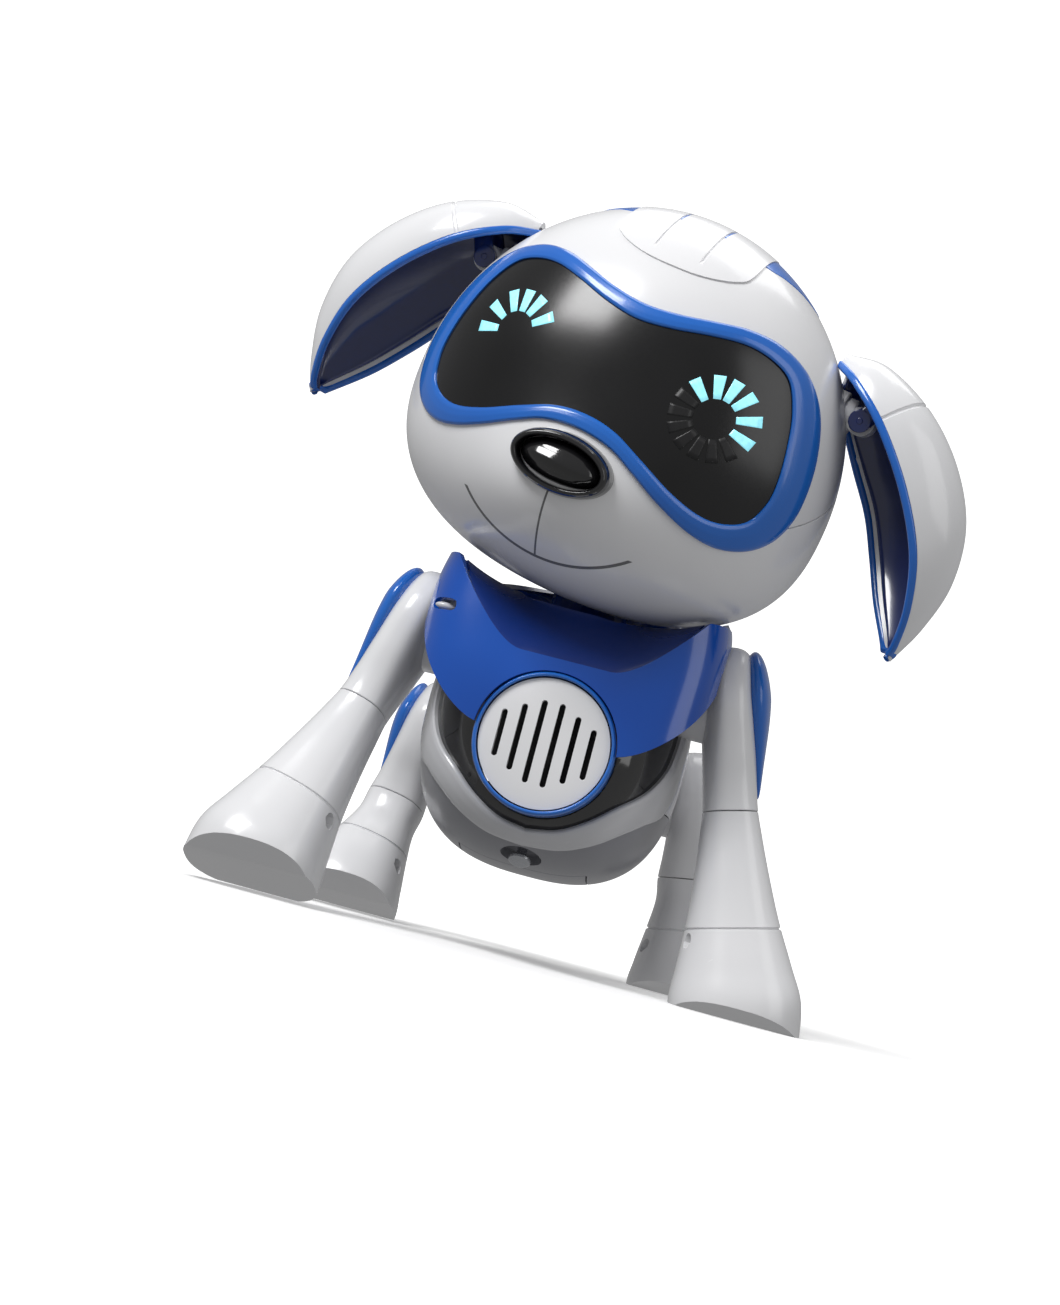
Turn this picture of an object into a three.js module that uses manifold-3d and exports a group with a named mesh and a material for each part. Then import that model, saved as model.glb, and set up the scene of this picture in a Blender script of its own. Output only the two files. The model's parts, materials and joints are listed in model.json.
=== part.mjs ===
// A robot puppy toy, modelled in millimetres with +Z up, its face towards -Y and its own left side at +X.
// It is stored in mid-step: the left legs stand flat on the floor, the right pair swings forward, and the
// head is turned and tilted on its neck. Run with Node and the packages three and manifold-3d.
import * as THREE from "three";
import { mergeVertices } from "three/addons/utils/BufferGeometryUtils.js";
import Module from "manifold-3d";

// ---------- driving dimensions ----------
const GAP = 0.3; // clearance between neighbouring mouldings
const SHELL_WALL = 2; // moulded shell thickness

const WHEELBASE = 78;
const TORSO_HALF_WIDTH = 40.5;
const FRONT_PIVOT = { x: TORSO_HALF_WIDTH + 7.9, y: -19, z: 88, splay: 15, hubRadius: 12 };
const REAR_PIVOT = { x: TORSO_HALF_WIDTH + 6.1, y: FRONT_PIVOT.y + WHEELBASE, z: 62, splay: 9.5, hubRadius: 12 };
const RIGHT_STEP = 16; // degrees that the right legs are swung forward as stored

const TORSO = { halfWidth: TORSO_HALF_WIDTH, front: 61, back: REAR_PIVOT.y + 3, down: 43, up: 40, middleY: 14, middleZ: 68, power: 2.7 };
const RUMP_Y = TORSO.middleY + TORSO.back; // the torso's rearmost point
const SEAM_Z = 53; // height of the joint line between back and belly shells
const SPEAKER = { z: 61.5, ringRadius: 20.5, ringWall: 1.3, faceY: -52.5, grilleRadius: 18.8, slots: 6, slotPitch: 5.2 };
const CELL = { radius: 7.1, length: 50.5, pitch: 15.2, z: 42.8, startY: -8 };

const NECK_BASE = new THREE.Vector3(0, -4, 104);
const NECK_LEAN = 24; // degrees that the neck leans forward
const NECK_LENGTH = 68; // from the neck base to the head's centre
const NECK_RADIUS = 12;
const HEAD_TURN = -9; // degrees about the neck as stored
const HEAD_TILT = 8.6; // degrees about the line of sight as stored
const HEAD_DROP = 14; // degrees that the face looks down

const HEAD = { halfWidth: 65.7, front: 56, back: 54, up: 70.2, down: 48, widestZ: -10.6, power: 2.5 };
const MUZZLE = { reach: 9, width: 27, height: 20, z: -30 };
const NOSE = { halfWidth: 15, halfHeight: 8.6, z: -18.8, depth: 7.5, rim: 2.6, travel: 1.2 };
const VISOR = { frameProud: 1.2, lensProud: 0.4, frameWall: 3, lensWall: 2 };
const EAR = { pivotX: HEAD.halfWidth - 3.7, pivotY: 5, pivotZ: 24, barrelRadius: 4.2, barrelLength: 10, armRadius: 6.5, wall: 1.8 };

const GEAR_MODULE = 1;
const LEG_GEAR_TEETH = 24;
const PINION_TEETH = 12;
const TILT_GEAR_TEETH = 30;
const GEAR_WIDTH = 4;
const MESH_SLACK = 0.2; // added to every gear pair's centre distance
const CRANK_RADIUS = 9; // from a leg's axle to the link rod's pin
const AXLE_RADIUS = 3;
const CRANK_PIN_RADIUS = 1.8;
const DRIVE_X = TORSO_HALF_WIDTH - 17.5; // inner face of the gears, each side of the middle plane
const ROD_WIDTH = 3;
const MOTOR_END = DRIVE_X - 5.5; // outer end of the walking motors and their frame
const SWITCH_TRAVEL = 4;

const rad = THREE.MathUtils.degToRad;

// ---------- materials ----------
const finish = (color, roughness, metalness = 0) => new THREE.MeshStandardMaterial({ color, roughness, metalness });
const WHITE = finish(0xf2f2f4, 0.22);
const BLUE = finish(0x1d5fc4, 0.25);
const DEEP_BLUE = finish(0x14265c, 0.3);
const SILVER = finish(0xc9cacd, 0.35);
const BLACK_GLOSS = finish(0x0a0b0d, 0.06);
const SMOKE = finish(0x26272a, 0.12);
const NYLON = finish(0xe6e2d6, 0.55);
const STEEL = finish(0x9a9ca0, 0.3, 1);
const BOARD = finish(0x1f6b3a, 0.5);
const CELL_JACKET = finish(0x3a3d42, 0.35);

// ---------- solid helpers ----------
const wasm = await Module();
wasm.setup();

// A three.js geometry as a manifold solid.
function solid(geometry) {
  const loose = geometry.index ? geometry.toNonIndexed() : geometry;
  const bare = new THREE.BufferGeometry().setAttribute("position", loose.getAttribute("position"));
  const merged = mergeVertices(bare, 1e-4);
  const vertProperties = merged.attributes.position.array;
  return new wasm.Manifold(new wasm.Mesh({ numProp: 3, vertProperties, triVerts: new Uint32Array(merged.index.array) }));
}

function geometryOf(made) {
  const mesh = made.getMesh();
  return new THREE.BufferGeometry()
    .setAttribute("position", new THREE.BufferAttribute(mesh.vertProperties, 3))
    .setIndex(new THREE.BufferAttribute(mesh.triVerts, 1));
}

const joined = (...parts) => parts.reduce((all, part) => all.add(part));
const cut = (body, ...tools) => tools.reduce((left, tool) => left.subtract(tool), body);
const largest = (made) => made.decompose().sort((a, b) => b.volume() - a.volume())[0];

// Moves every corner of a geometry by a rule.
function moulded(geometry, rule) {
  const place = geometry.getAttribute("position");
  const point = new THREE.Vector3();
  for (let i = 0; i < place.count; i++) {
    rule(point.fromBufferAttribute(place, i));
    place.setXYZ(i, point.x, point.y, point.z);
  }
  return geometry;
}

const smooth = (x) => {
  const t = THREE.MathUtils.clamp(x, 0, 1);
  return t * t * (3 - 2 * t);
};

function box(x0, x1, y0, y1, z0, z1) {
  const block = new THREE.BoxGeometry(x1 - x0, y1 - y0, z1 - z0);
  return solid(block.translate((x0 + x1) / 2, (y0 + y1) / 2, (z0 + z1) / 2));
}

// A round bar from one point to another.
function bar(from, to, radius, sides = 14, endRadius = radius) {
  const start = new THREE.Vector3(...from);
  const along = new THREE.Vector3(...to).sub(start);
  const turn = new THREE.Quaternion().setFromUnitVectors(new THREE.Vector3(0, 1, 0), along.clone().normalize());
  const cylinder = new THREE.CylinderGeometry(endRadius, radius, along.length(), sides);
  cylinder.translate(0, along.length() / 2, 0).applyQuaternion(turn);
  return solid(cylinder.translate(...start));
}

// An outline of [x, z] points as a block from y0 to y1.
function blockAlongY(outline, y0, y1) {
  const shape = new THREE.Shape(outline.map((p) => new THREE.Vector2(...p)));
  const block = new THREE.ExtrudeGeometry(shape, { depth: y1 - y0, bevelEnabled: false });
  return solid(block.rotateX(Math.PI / 2).translate(0, y1, 0));
}

// An outline of [x, y] points as a block from z0 to z1.
function blockAlongZ(outline, z0, z1) {
  const shape = new THREE.Shape(outline.map((p) => new THREE.Vector2(...p)));
  return solid(new THREE.ExtrudeGeometry(shape, { depth: z1 - z0, bevelEnabled: false }).translate(0, 0, z0));
}

// An outline of [y, z] points as a block from x0 to x1.
function blockAlongX(outline, x0, x1) {
  const shape = new THREE.Shape(outline.map((p) => new THREE.Vector2(...p)));
  const block = new THREE.ExtrudeGeometry(shape, { depth: x1 - x0, bevelEnabled: false });
  block.applyMatrix4(new THREE.Matrix4().set(0, 0, 1, x0, 1, 0, 0, 0, 0, 1, 0, 0, 0, 0, 0, 1));
  return solid(block);
}

const ellipse = (rx, ry, cx = 0, cy = 0, sides = 28) =>
  Array.from({ length: sides }, (_, i) => {
    const turn = (i / sides) * 2 * Math.PI;
    return [cx + rx * Math.cos(turn), cy + ry * Math.sin(turn)];
  });

// A closed smooth outline from the points of its right half, top to bottom.
function mirroredOutline(half, count) {
  const left = half.filter(([x]) => x > 0).map(([x, z]) => [-x, z]).reverse();
  const points = [...half, ...left].map(([x, z]) => new THREE.Vector3(x, z, 0));
  const curve = new THREE.CatmullRomCurve3(points, true, "centripetal");
  return curve.getPoints(count).slice(0, -1).map((p) => [p.x, p.y]);
}

// The outline moved outwards by a distance; it runs clockwise.
function grown(outline, distance) {
  return outline.map(([x, z], i) => {
    const [ax, az] = outline.at(i - 1);
    const [bx, bz] = outline[(i + 1) % outline.length];
    const length = Math.hypot(bx - ax, bz - az);
    return [x - ((bz - az) / length) * distance, z + ((bx - ax) / length) * distance];
  });
}

const toy = new THREE.Group();

function add(group, name, made, material) {
  const mesh = new THREE.Mesh(geometryOf(made), material);
  mesh.name = name;
  group.add(mesh);
  return mesh;
}

// ---------- gears ----------
const involute = (angle) => Math.tan(angle) - angle;

// A spur gear's outline about the origin, with one tooth centred on the direction `toothAt`.
// Only the teeth whose centres lie within `reach` of that direction are cut; the rest is a plain hub.
function gearOutline(teeth, toothAt, reach, hub) {
  const pitch = (teeth * GEAR_MODULE) / 2;
  const base = pitch * Math.cos(rad(20));
  const backlash = 0.3;
  const halfTooth = Math.PI / (2 * teeth) - backlash / (2 * pitch) + involute(rad(20));
  const half = (r) => halfTooth - involute(Math.acos(Math.min(1, base / Math.max(r, base))));
  const root = pitch - 1.15 * GEAR_MODULE;
  const levels = [root, pitch + 0.8 * GEAR_MODULE];
  const step = (2 * Math.PI) / teeth;
  const count = Math.min(teeth, 2 * Math.floor(reach / step + 1e-6) + 1);
  const points = [];
  const put = (r, angle) => points.push([r * Math.cos(angle), r * Math.sin(angle)]);
  for (let i = 0; i < count; i++) {
    const centre = toothAt + (i - Math.floor((count - 1) / 2)) * step;
    levels.forEach((r) => put(r, centre - half(r)));
    [...levels].reverse().forEach((r) => put(r, centre + half(r)));
  }
  if (count < teeth) {
    const end = toothAt + (count * step) / 2;
    const rest = 2 * Math.PI - count * step;
    for (let i = 1; i <= 8; i++) put(hub, end + (rest * i) / 9);
  }
  return points;
}

const meshDistance = (a, b) => ((a + b) * GEAR_MODULE) / 2 + MESH_SLACK;

// ---------- torso ----------
// The torso's outer surface, moved out or in by `offset`.
function torsoBody(offset, columns = 18, rows = 10) {
  const ball = new THREE.SphereGeometry(1, columns, rows).rotateX(Math.PI / 2);
  return solid(
    moulded(ball, (p) => {
      const total = Math.abs(p.x) ** TORSO.power + Math.abs(p.y) ** TORSO.power + Math.abs(p.z) ** TORSO.power;
      p.multiplyScalar(total ** (-1 / TORSO.power));
      p.x *= TORSO.halfWidth + offset;
      p.y *= (p.y < 0 ? TORSO.front : TORSO.back) + offset;
      p.z *= (p.z < 0 ? TORSO.down : TORSO.up) + offset;
      p.y += TORSO.middleY;
      p.z += TORSO.middleZ;
    }),
  );
}

const chestOutline = [
  [37, 104], [37, 72], [35.5, 64], [31, 56], [24, 49.5], [17, 43.5], [9, 39], [0, 37.2],
  [-9, 39], [-17, 43.5], [-24, 49.5], [-31, 56], [-35.5, 64], [-37, 72], [-37, 104],
];
const bandOutline = [
  [46, 104], [46, SEAM_Z], [39, SEAM_Z], [33, 48], [24, 40.3], [14, 35.2], [0, 32.9],
  [-14, 35.2], [-24, 40.3], [-33, 48], [-39, SEAM_Z], [-46, SEAM_Z], [-46, 104],
];
const FRONT_END = -70; // in front of everything on the torso
const BAND_BACK = -12; // how far back the harness band and chest panel reach

const speakerHole = () => blockAlongY(ellipse(SPEAKER.ringRadius + GAP, SPEAKER.ringRadius + GAP, 0, SPEAKER.z), FRONT_END, -36);

// Clearance holes for the four leg hubs, right through both sides.
function hubHoles() {
  return [FRONT_PIVOT, REAR_PIVOT].map(({ y, z, hubRadius }) => bar([-60, y, z], [60, y, z], hubRadius + 0.8, 28));
}

// Clearance for the front gears and hubs, and for the link rods, on both sides.
const gearRoom = () =>
  [1, -1].flatMap((side) => [
    bar([side * (DRIVE_X - 1), FRONT_PIVOT.y, FRONT_PIVOT.z], [side * (DRIVE_X + 6.8), FRONT_PIVOT.y, FRONT_PIVOT.z], 13.6, 20),
    bar([side * (DRIVE_X + 6.5), FRONT_PIVOT.y, FRONT_PIVOT.z], [side * 60, FRONT_PIVOT.y, FRONT_PIVOT.z], FRONT_PIVOT.hubRadius + 0.8, 20),
  ]);
const rodRoom = () => [1, -1].map((side) => box(Math.min(side * (DRIVE_X - 5), side * (DRIVE_X + 8)), Math.max(side * (DRIVE_X - 5), side * (DRIVE_X + 8)), FRONT_PIVOT.y - 8, 20, 60, 101.6));

function makeTorso() {
  const shell = cut(torsoBody(0), torsoBody(-SHELL_WALL));
  const bandZone = blockAlongY(grown(bandOutline, GAP), FRONT_END, BAND_BACK + GAP);
  const bandOnly = blockAlongY(bandOutline, FRONT_END, BAND_BACK);
  const chestOnly = blockAlongY(grown(chestOutline, -GAP), FRONT_END, BAND_BACK);
  const neckHole = bar([0, 8, 80], [0, -16, 130], 27, 24);
  const up = new THREE.Vector3(0, -Math.sin(rad(NECK_LEAN)), Math.cos(rad(NECK_LEAN)));
  const onNeck = (d) => NECK_BASE.clone().addScaledVector(up, d).toArray();
  const deck = cut(bar(onNeck(-5), onNeck(-2.5), 44, 24).intersect(torsoBody(-SHELL_WALL / 2)), bar(onNeck(-9), onNeck(3), NECK_RADIUS + 0.5, 24));

  const tailNotch = box(-7, 7, RUMP_Y - 18, RUMP_Y + 14, 83, 99);
  const switchSlot = box(-SWITCH_TRAVEL - 1.5, SWITCH_TRAVEL + 1.5, RUMP_Y - 16, RUMP_Y + 14, 63.5, 68.5);
  const deckRoom = bar(onNeck(-5.4), onNeck(-2.1), 50, 24);
  const above = box(-60, 60, -80, 90, SEAM_Z + GAP / 2, 130);
  const back = cut(joined(cut(shell.intersect(above), neckHole), cut(deck, ...rodRoom())), bandZone, tailNotch, switchSlot, speakerHole(), ...hubHoles());
  add(toy, "back_shell", largest(back), WHITE);

  const below = box(-60, 60, -80, 90, 0, SEAM_Z - GAP / 2);
  const bay = cut(
    box(-24.6, 24.6, CELL.startY - 2.5, CELL.startY + CELL.length + 2.5, 31, 52.4),
    box(-23, 23, CELL.startY - 0.8, CELL.startY + CELL.length + 0.8, 20, 52.4 - SHELL_WALL),
  );
  const door = [20, CELL.startY - 5, CELL.startY + CELL.length - 1];
  const doorHole = box(-door[0], door[0], door[1], door[2], 10, 44);
  const screwAxis = new THREE.Vector3(0, -0.45, -0.893);
  const screwSeat = new THREE.Vector3(0, -23.2, 30.2);
  const alongScrew = (d) => screwSeat.clone().addScaledVector(screwAxis, d).toArray();
  const screwHole = joined(bar(alongScrew(-9), alongScrew(14), 2.2), bar(alongScrew(1.5), alongScrew(14), 6.3, 24));
  const boss = cut(bar(alongScrew(-7), alongScrew(1.5), 5), bar(alongScrew(-9), alongScrew(14), 2.2));
  const belly = joined(
    cut(shell.intersect(below), screwHole),
    bay.intersect(torsoBody(-SHELL_WALL / 2)),
    boss.intersect(torsoBody(-SHELL_WALL / 2)),
  );
  add(toy, "belly_shell", largest(cut(belly, bandZone, doorHole, speakerHole(), ...hubHoles())), SILVER);

  const cover = shell.intersect(box(-door[0] + GAP, door[0] - GAP, door[1] + GAP, door[2] - GAP, 10, 44));
  add(toy, "battery_cover", cover, SILVER);
  const head = cut(bar(alongScrew(1.8), alongScrew(3.4), 3.4, 16), screwSlot(alongScrew, screwAxis));
  add(toy, "battery_screw", joined(head, bar(alongScrew(-8), alongScrew(2), 1.5, 10)), STEEL);

  const panel = cut(torsoBody(-0.8).intersect(chestOnly), torsoBody(-SHELL_WALL - 0.8), deckRoom, speakerHole(), neckHole, ...hubHoles(), ...gearRoom());
  add(toy, "chest_panel", largest(panel), SMOKE);
  const band = cut(torsoBody(0.8).intersect(bandOnly), torsoBody(-SHELL_WALL), blockAlongY(chestOutline, FRONT_END, 0), speakerHole(), ...hubHoles());
  add(toy, "harness_band", largest(band), SILVER);
}

// The cross recess of the battery screw, cut across its head.
function screwSlot(alongScrew, axis) {
  const slots = [0, 90].map((turn) => {
    const slot = new THREE.BoxGeometry(5, 0.9, 1.6).rotateZ(rad(turn));
    const facing = new THREE.Quaternion().setFromUnitVectors(new THREE.Vector3(0, 0, 1), axis);
    return solid(slot.applyQuaternion(facing).translate(...alongScrew(3.4)));
  });
  return joined(...slots);
}

// ---------- collar ----------
// Height of the bib's rim and hem round the neck; `around` is 0 at the front.
const rimZ = (around) => 87.5 + 27 * (1 - ((1 + Math.cos(around)) / 2) ** 2.6);
const hemZ = (around) => 62.5 + 38 * smooth((Math.abs(around) - rad(22)) / rad(54));
const BIB = { rim: [35.2, 41], hem: [45.6, 47], bulge: 0.8, wall: 1.8, y: -7, squareness: 4.5 };
const COLLAR = { top: [29, 29], topZ: 102.5, topRise: 6.75, wall: 1.6 };
const SHOULDER_ROOM = 18.6; // radius of the clearance round each swinging shoulder

// The space that the head takes above the collar, with a working clearance.
function headRoom() {
  const up = new THREE.Vector3(0, -Math.sin(rad(NECK_LEAN)), Math.cos(rad(NECK_LEAN)));
  const pose = new THREE.Matrix4().makeRotationFromQuaternion(headPose(up));
  pose.setPosition(NECK_BASE.clone().addScaledVector(up, NECK_LENGTH));
  return headBody(1, 22, 13).transform(pose.toArray());
}

// A ring of sheet round the neck. `place` gives half its width and depth and its height; `run` goes 0 at the rim to 1 at the hem.
function neckSheet(place, wall, columns, rows) {
  const bowl = (inset, stretch) =>
    solid(
      moulded(new THREE.CylinderGeometry(1, 1, 1, columns, rows), (p) => {
        const around = Math.atan2(-p.x, -p.z);
        const reach = Math.hypot(p.x, p.z);
        const { wide, deep, z } = place(around, 0.5 - p.y);
        const beyond = Math.abs(p.y) > 0.499 ? Math.sign(p.y) * stretch : 0;
        p.set((wide - inset) * reach * Math.sin(around), -(deep - inset) * reach * Math.cos(around), z + beyond);
      }),
    );
  return cut(bowl(0, 0), bowl(wall, 3)).translate([0, BIB.y, 0]);
}

function makeCollar() {
  const between = (a, b, k) => THREE.MathUtils.lerp(a, b, k);
  const cape = neckSheet((around, run) => {
    const power = between(2, BIB.squareness, run);
    const squarer = (Math.abs(Math.cos(around)) ** power + Math.abs(Math.sin(around)) ** power) ** (-1 / power);
    const grow = BIB.bulge * Math.sin(Math.PI * run);
    const [wide, deep] = [0, 1].map((i) => (between(BIB.rim[i], BIB.hem[i], run) + grow) * squarer);
    return { wide, deep, z: between(rimZ(around), hemZ(around), run) };
  }, BIB.wall, 32, 3);
  const shoulders = [1, -1].map((side) => bar([side * (FRONT_PIVOT.x - 11.7), FRONT_PIVOT.y, FRONT_PIVOT.z], [side * (FRONT_PIVOT.x + 22), FRONT_PIVOT.y, FRONT_PIVOT.z], SHOULDER_ROOM, 24));
  const keyhole = bar([-60, -20, 95.5], [-20, -20, 95.5], 2.6, 12);
  add(toy, "bib", largest(cut(cape, torsoBody(1.1), speakerHole(), ...gearRoom(), ...shoulders, keyhole)), BLUE);

  const funnel = neckSheet((around, run) => {
    const [wide, deep] = [0, 1].map((i) => between(COLLAR.top[i], BIB.rim[i] - BIB.wall - 1, smooth(run * 1.1)));
    return { wide, deep, z: between(COLLAR.topZ + COLLAR.topRise * (1 - Math.cos(around)), rimZ(around) - 5, run) };
  }, COLLAR.wall, 24, 3);
  add(toy, "neck_collar", largest(cut(funnel, torsoBody(0.4), speakerHole(), headRoom(), ...gearRoom(), ...rodRoom())), BLUE);
}

// ---------- speaker ----------
function makeSpeaker() {
  const { z, ringRadius, ringWall, faceY, grilleRadius, slots, slotPitch } = SPEAKER;
  const tube = blockAlongY(ellipse(ringRadius, ringRadius, 0, z), faceY - 0.8, -42);
  add(toy, "speaker_ring", cut(tube, blockAlongY(ellipse(ringRadius - ringWall, ringRadius - ringWall, 0, z), FRONT_END, -30)), BLUE);

  const cutters = Array.from({ length: slots }, (_, i) => {
    const x = (i - (slots - 1) / 2) * slotPitch;
    const half = 12.5 * Math.sqrt(1 - (x / 17) ** 2);
    return joined(box(x - 0.8, x + 0.8, FRONT_END, -40, z - half, z + half), ...[-half, half].map((dz) => bar([x, FRONT_END, z + dz], [x, -40, z + dz], 0.8, 8)));
  });
  const disc = blockAlongY(ellipse(grilleRadius, grilleRadius, 0, z), faceY, faceY + 2);
  add(toy, "speaker_grille", cut(disc, ...cutters), WHITE);

  const cone = new THREE.LatheGeometry(
    [[0, 0], [3, 0.6], [14.5, -3.5], [16, -3.5], [16, 1], [9, 4], [9, 8], [0, 8]].map((p) => new THREE.Vector2(...p)),
    20,
  );
  add(toy, "speaker_driver", solid(cone.translate(0, faceY + 7, -z).rotateX(0).applyMatrix4(new THREE.Matrix4().set(1, 0, 0, 0, 0, 1, 0, 0, 0, 0, -1, 0, 0, 0, 0, 1)).scale(-1, 1, 1)), SMOKE);
}

// ---------- what the torso holds ----------
function makeTorsoInside() {
  for (let i = 0; i < 3; i++) {
    const x = (i - 1) * CELL.pitch;
    const ends = i % 2 ? [CELL.startY + CELL.length, CELL.startY] : [CELL.startY, CELL.startY + CELL.length];
    const toward = Math.sign(ends[1] - ends[0]);
    const can = bar([x, ends[0], CELL.z], [x, ends[1] - toward * 1.5, CELL.z], CELL.radius, 18);
    const nub = bar([x, ends[1] - toward * 2, CELL.z], [x, ends[1], CELL.z], 2.5, 10);
    add(toy, `battery_cell_${i + 1}`, joined(can, nub), CELL_JACKET);
  }
  const chips = [[-6, 12, 10], [5, 24, 7], [-8, 34, 6]].map(([x, y, size]) => box(x, x + size, y, y + size, 57, 59.2));
  const spacers = [[-13, 5], [13, 5], [-13, 39], [13, 39]].map(([x, y]) => bar([x, y, 52.4 + GAP], [x, y, 56], 2.2, 8));
  add(toy, "main_board", joined(box(-16, 16, 2, 42, 55.6, 57.2), ...chips, ...spacers), BOARD);

  const bearing = bar([-40, FRONT_PIVOT.y, FRONT_PIVOT.z], [40, FRONT_PIVOT.y, FRONT_PIVOT.z], AXLE_RADIUS + GAP, 20);
  const midWall = box(-6, 6, -40, 0, 70, 110);
  const frame = box(-MOTOR_END, MOTOR_END, FRONT_PIVOT.y - 7, FRONT_PIVOT.y + 5, FRONT_PIVOT.z - 8.5, FRONT_PIVOT.z + 8);
  add(toy, "drive_frame", cut(frame, cut(bearing, midWall)), NYLON);

  const motorZ = FRONT_PIVOT.z - meshDistance(LEG_GEAR_TEETH, PINION_TEETH);
  for (const [side, name] of [[1, "left"], [-1, "right"]]) {
    const can = bar([side * 1, FRONT_PIVOT.y, motorZ], [side * MOTOR_END, FRONT_PIVOT.y, motorZ], 8.2, 20);
    const neck = bar([side * (MOTOR_END - 0.5), FRONT_PIVOT.y, motorZ], [side * (MOTOR_END + 1.5), FRONT_PIVOT.y, motorZ], 3, 14);
    add(toy, `walk_motor_${name}`, joined(can, neck), STEEL);
  }
  const up = new THREE.Vector3(0, -Math.sin(rad(NECK_LEAN)), Math.cos(rad(NECK_LEAN)));
  const at = (d) => NECK_BASE.clone().addScaledVector(up, d).toArray();
  add(toy, "neck_motor", joined(bar(at(-32), at(-10), 10, 20), bar(at(-11), at(-7.5), 2.5, 12)), STEEL);
}

// ---------- legs ----------
// Half sizes of a leg's section at distances `t` down its axis: `side` across the toy, `along` fore and aft.
const FRONT_SECTIONS = [
  { t: -18, side: 3.5, along: 4 }, { t: -16.6, side: 6, along: 7.5 }, { t: -11, side: 7.6, along: 14 }, { t: 0, side: 8, along: 17.5 },
  { t: 13, side: 8, along: 15 }, { t: 24, side: 8, along: 11.5, back: -1 }, { t: 31, side: 8.2, along: 10.2, back: -2 }, { t: 37, side: 9, along: 10.8, back: -2.5 },
  { t: 50, side: 11, along: 12.8, back: -4 }, { t: 64, side: 13.7, along: 15.4, back: -5.2 }, { t: 76, side: 16.8, along: 18.4, back: -6 },
  { t: 86, side: 19.2, along: 20.8, back: -6.5 }, { t: 96, side: 18.4, along: 20, back: -6.5 }, { t: 104, side: 17, along: 19, back: -6.5 },
];
const REAR_SECTIONS = [
  { t: -18, side: 3.5, along: 6 }, { t: -16.5, side: 6, along: 11 }, { t: -11, side: 7.4, along: 17 }, { t: 0, side: 8, along: 20 },
  { t: 10, side: 8.4, along: 17, back: 2 }, { t: 18, side: 9.2, along: 13, back: 4 }, { t: 24, side: 10, along: 11.5, back: 5 },
  { t: 31, side: 10, along: 11.5, back: 4.5 }, { t: 41, side: 12.4, along: 14, back: 2 }, { t: 52, side: 15.6, along: 17.6 },
  { t: 59, side: 17.4, along: 19.6 }, { t: 68, side: 16.8, along: 19 }, { t: 76, side: 16, along: 18 },
];
const KNEE_AT = { front: 31, rear: 24 }; // where the boot meets the upper leg
const TOE = { rise: 22, length: 9 }; // the sole's bevelled toe, degrees and millimetres

function sectionAt(sections, t) {
  const next = sections.findIndex((s) => s.t >= t);
  if (next <= 0) return { back: 0, ...sections[next === 0 ? 0 : sections.length - 1] };
  const [a, b] = [sections[next - 1], sections[next]];
  const k = (t - a.t) / (b.t - a.t);
  const mix = (key) => THREE.MathUtils.lerp(a[key] ?? 0, b[key] ?? 0, k);
  return { side: mix("side"), along: mix("along"), back: mix("back") };
}

// A left leg's solid between two distances down its axis, about its pivot, walls moved in by `inset`.
function legBody(sections, splay, from, to, inset, columns, rows) {
  const tube = new THREE.CylinderGeometry(1, 1, 1, columns, rows);
  const axis = new THREE.Vector3(Math.sin(rad(splay)), 0, -Math.cos(rad(splay)));
  const across = new THREE.Vector3(Math.cos(rad(splay)), 0, Math.sin(rad(splay)));
  return solid(
    moulded(tube, (p) => {
      const t = THREE.MathUtils.lerp(to, from, p.y + 0.5);
      const reach = Math.hypot(p.x, p.z);
      const rounding = reach > 0 ? reach * (Math.abs(p.x / reach) ** 2.5 + Math.abs(p.z / reach) ** 2.5) ** (-1 / 2.5) : 0;
      const { side, along, back } = sectionAt(sections, t);
      const scale = reach > 0 ? rounding / reach : 0;
      const x = p.x * scale * Math.max(0.5, side - inset);
      const y = -p.z * scale * Math.max(0.5, along - inset) + back;
      p.copy(axis).multiplyScalar(t).addScaledVector(across, x);
      p.y = y;
    }),
  );
}

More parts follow.
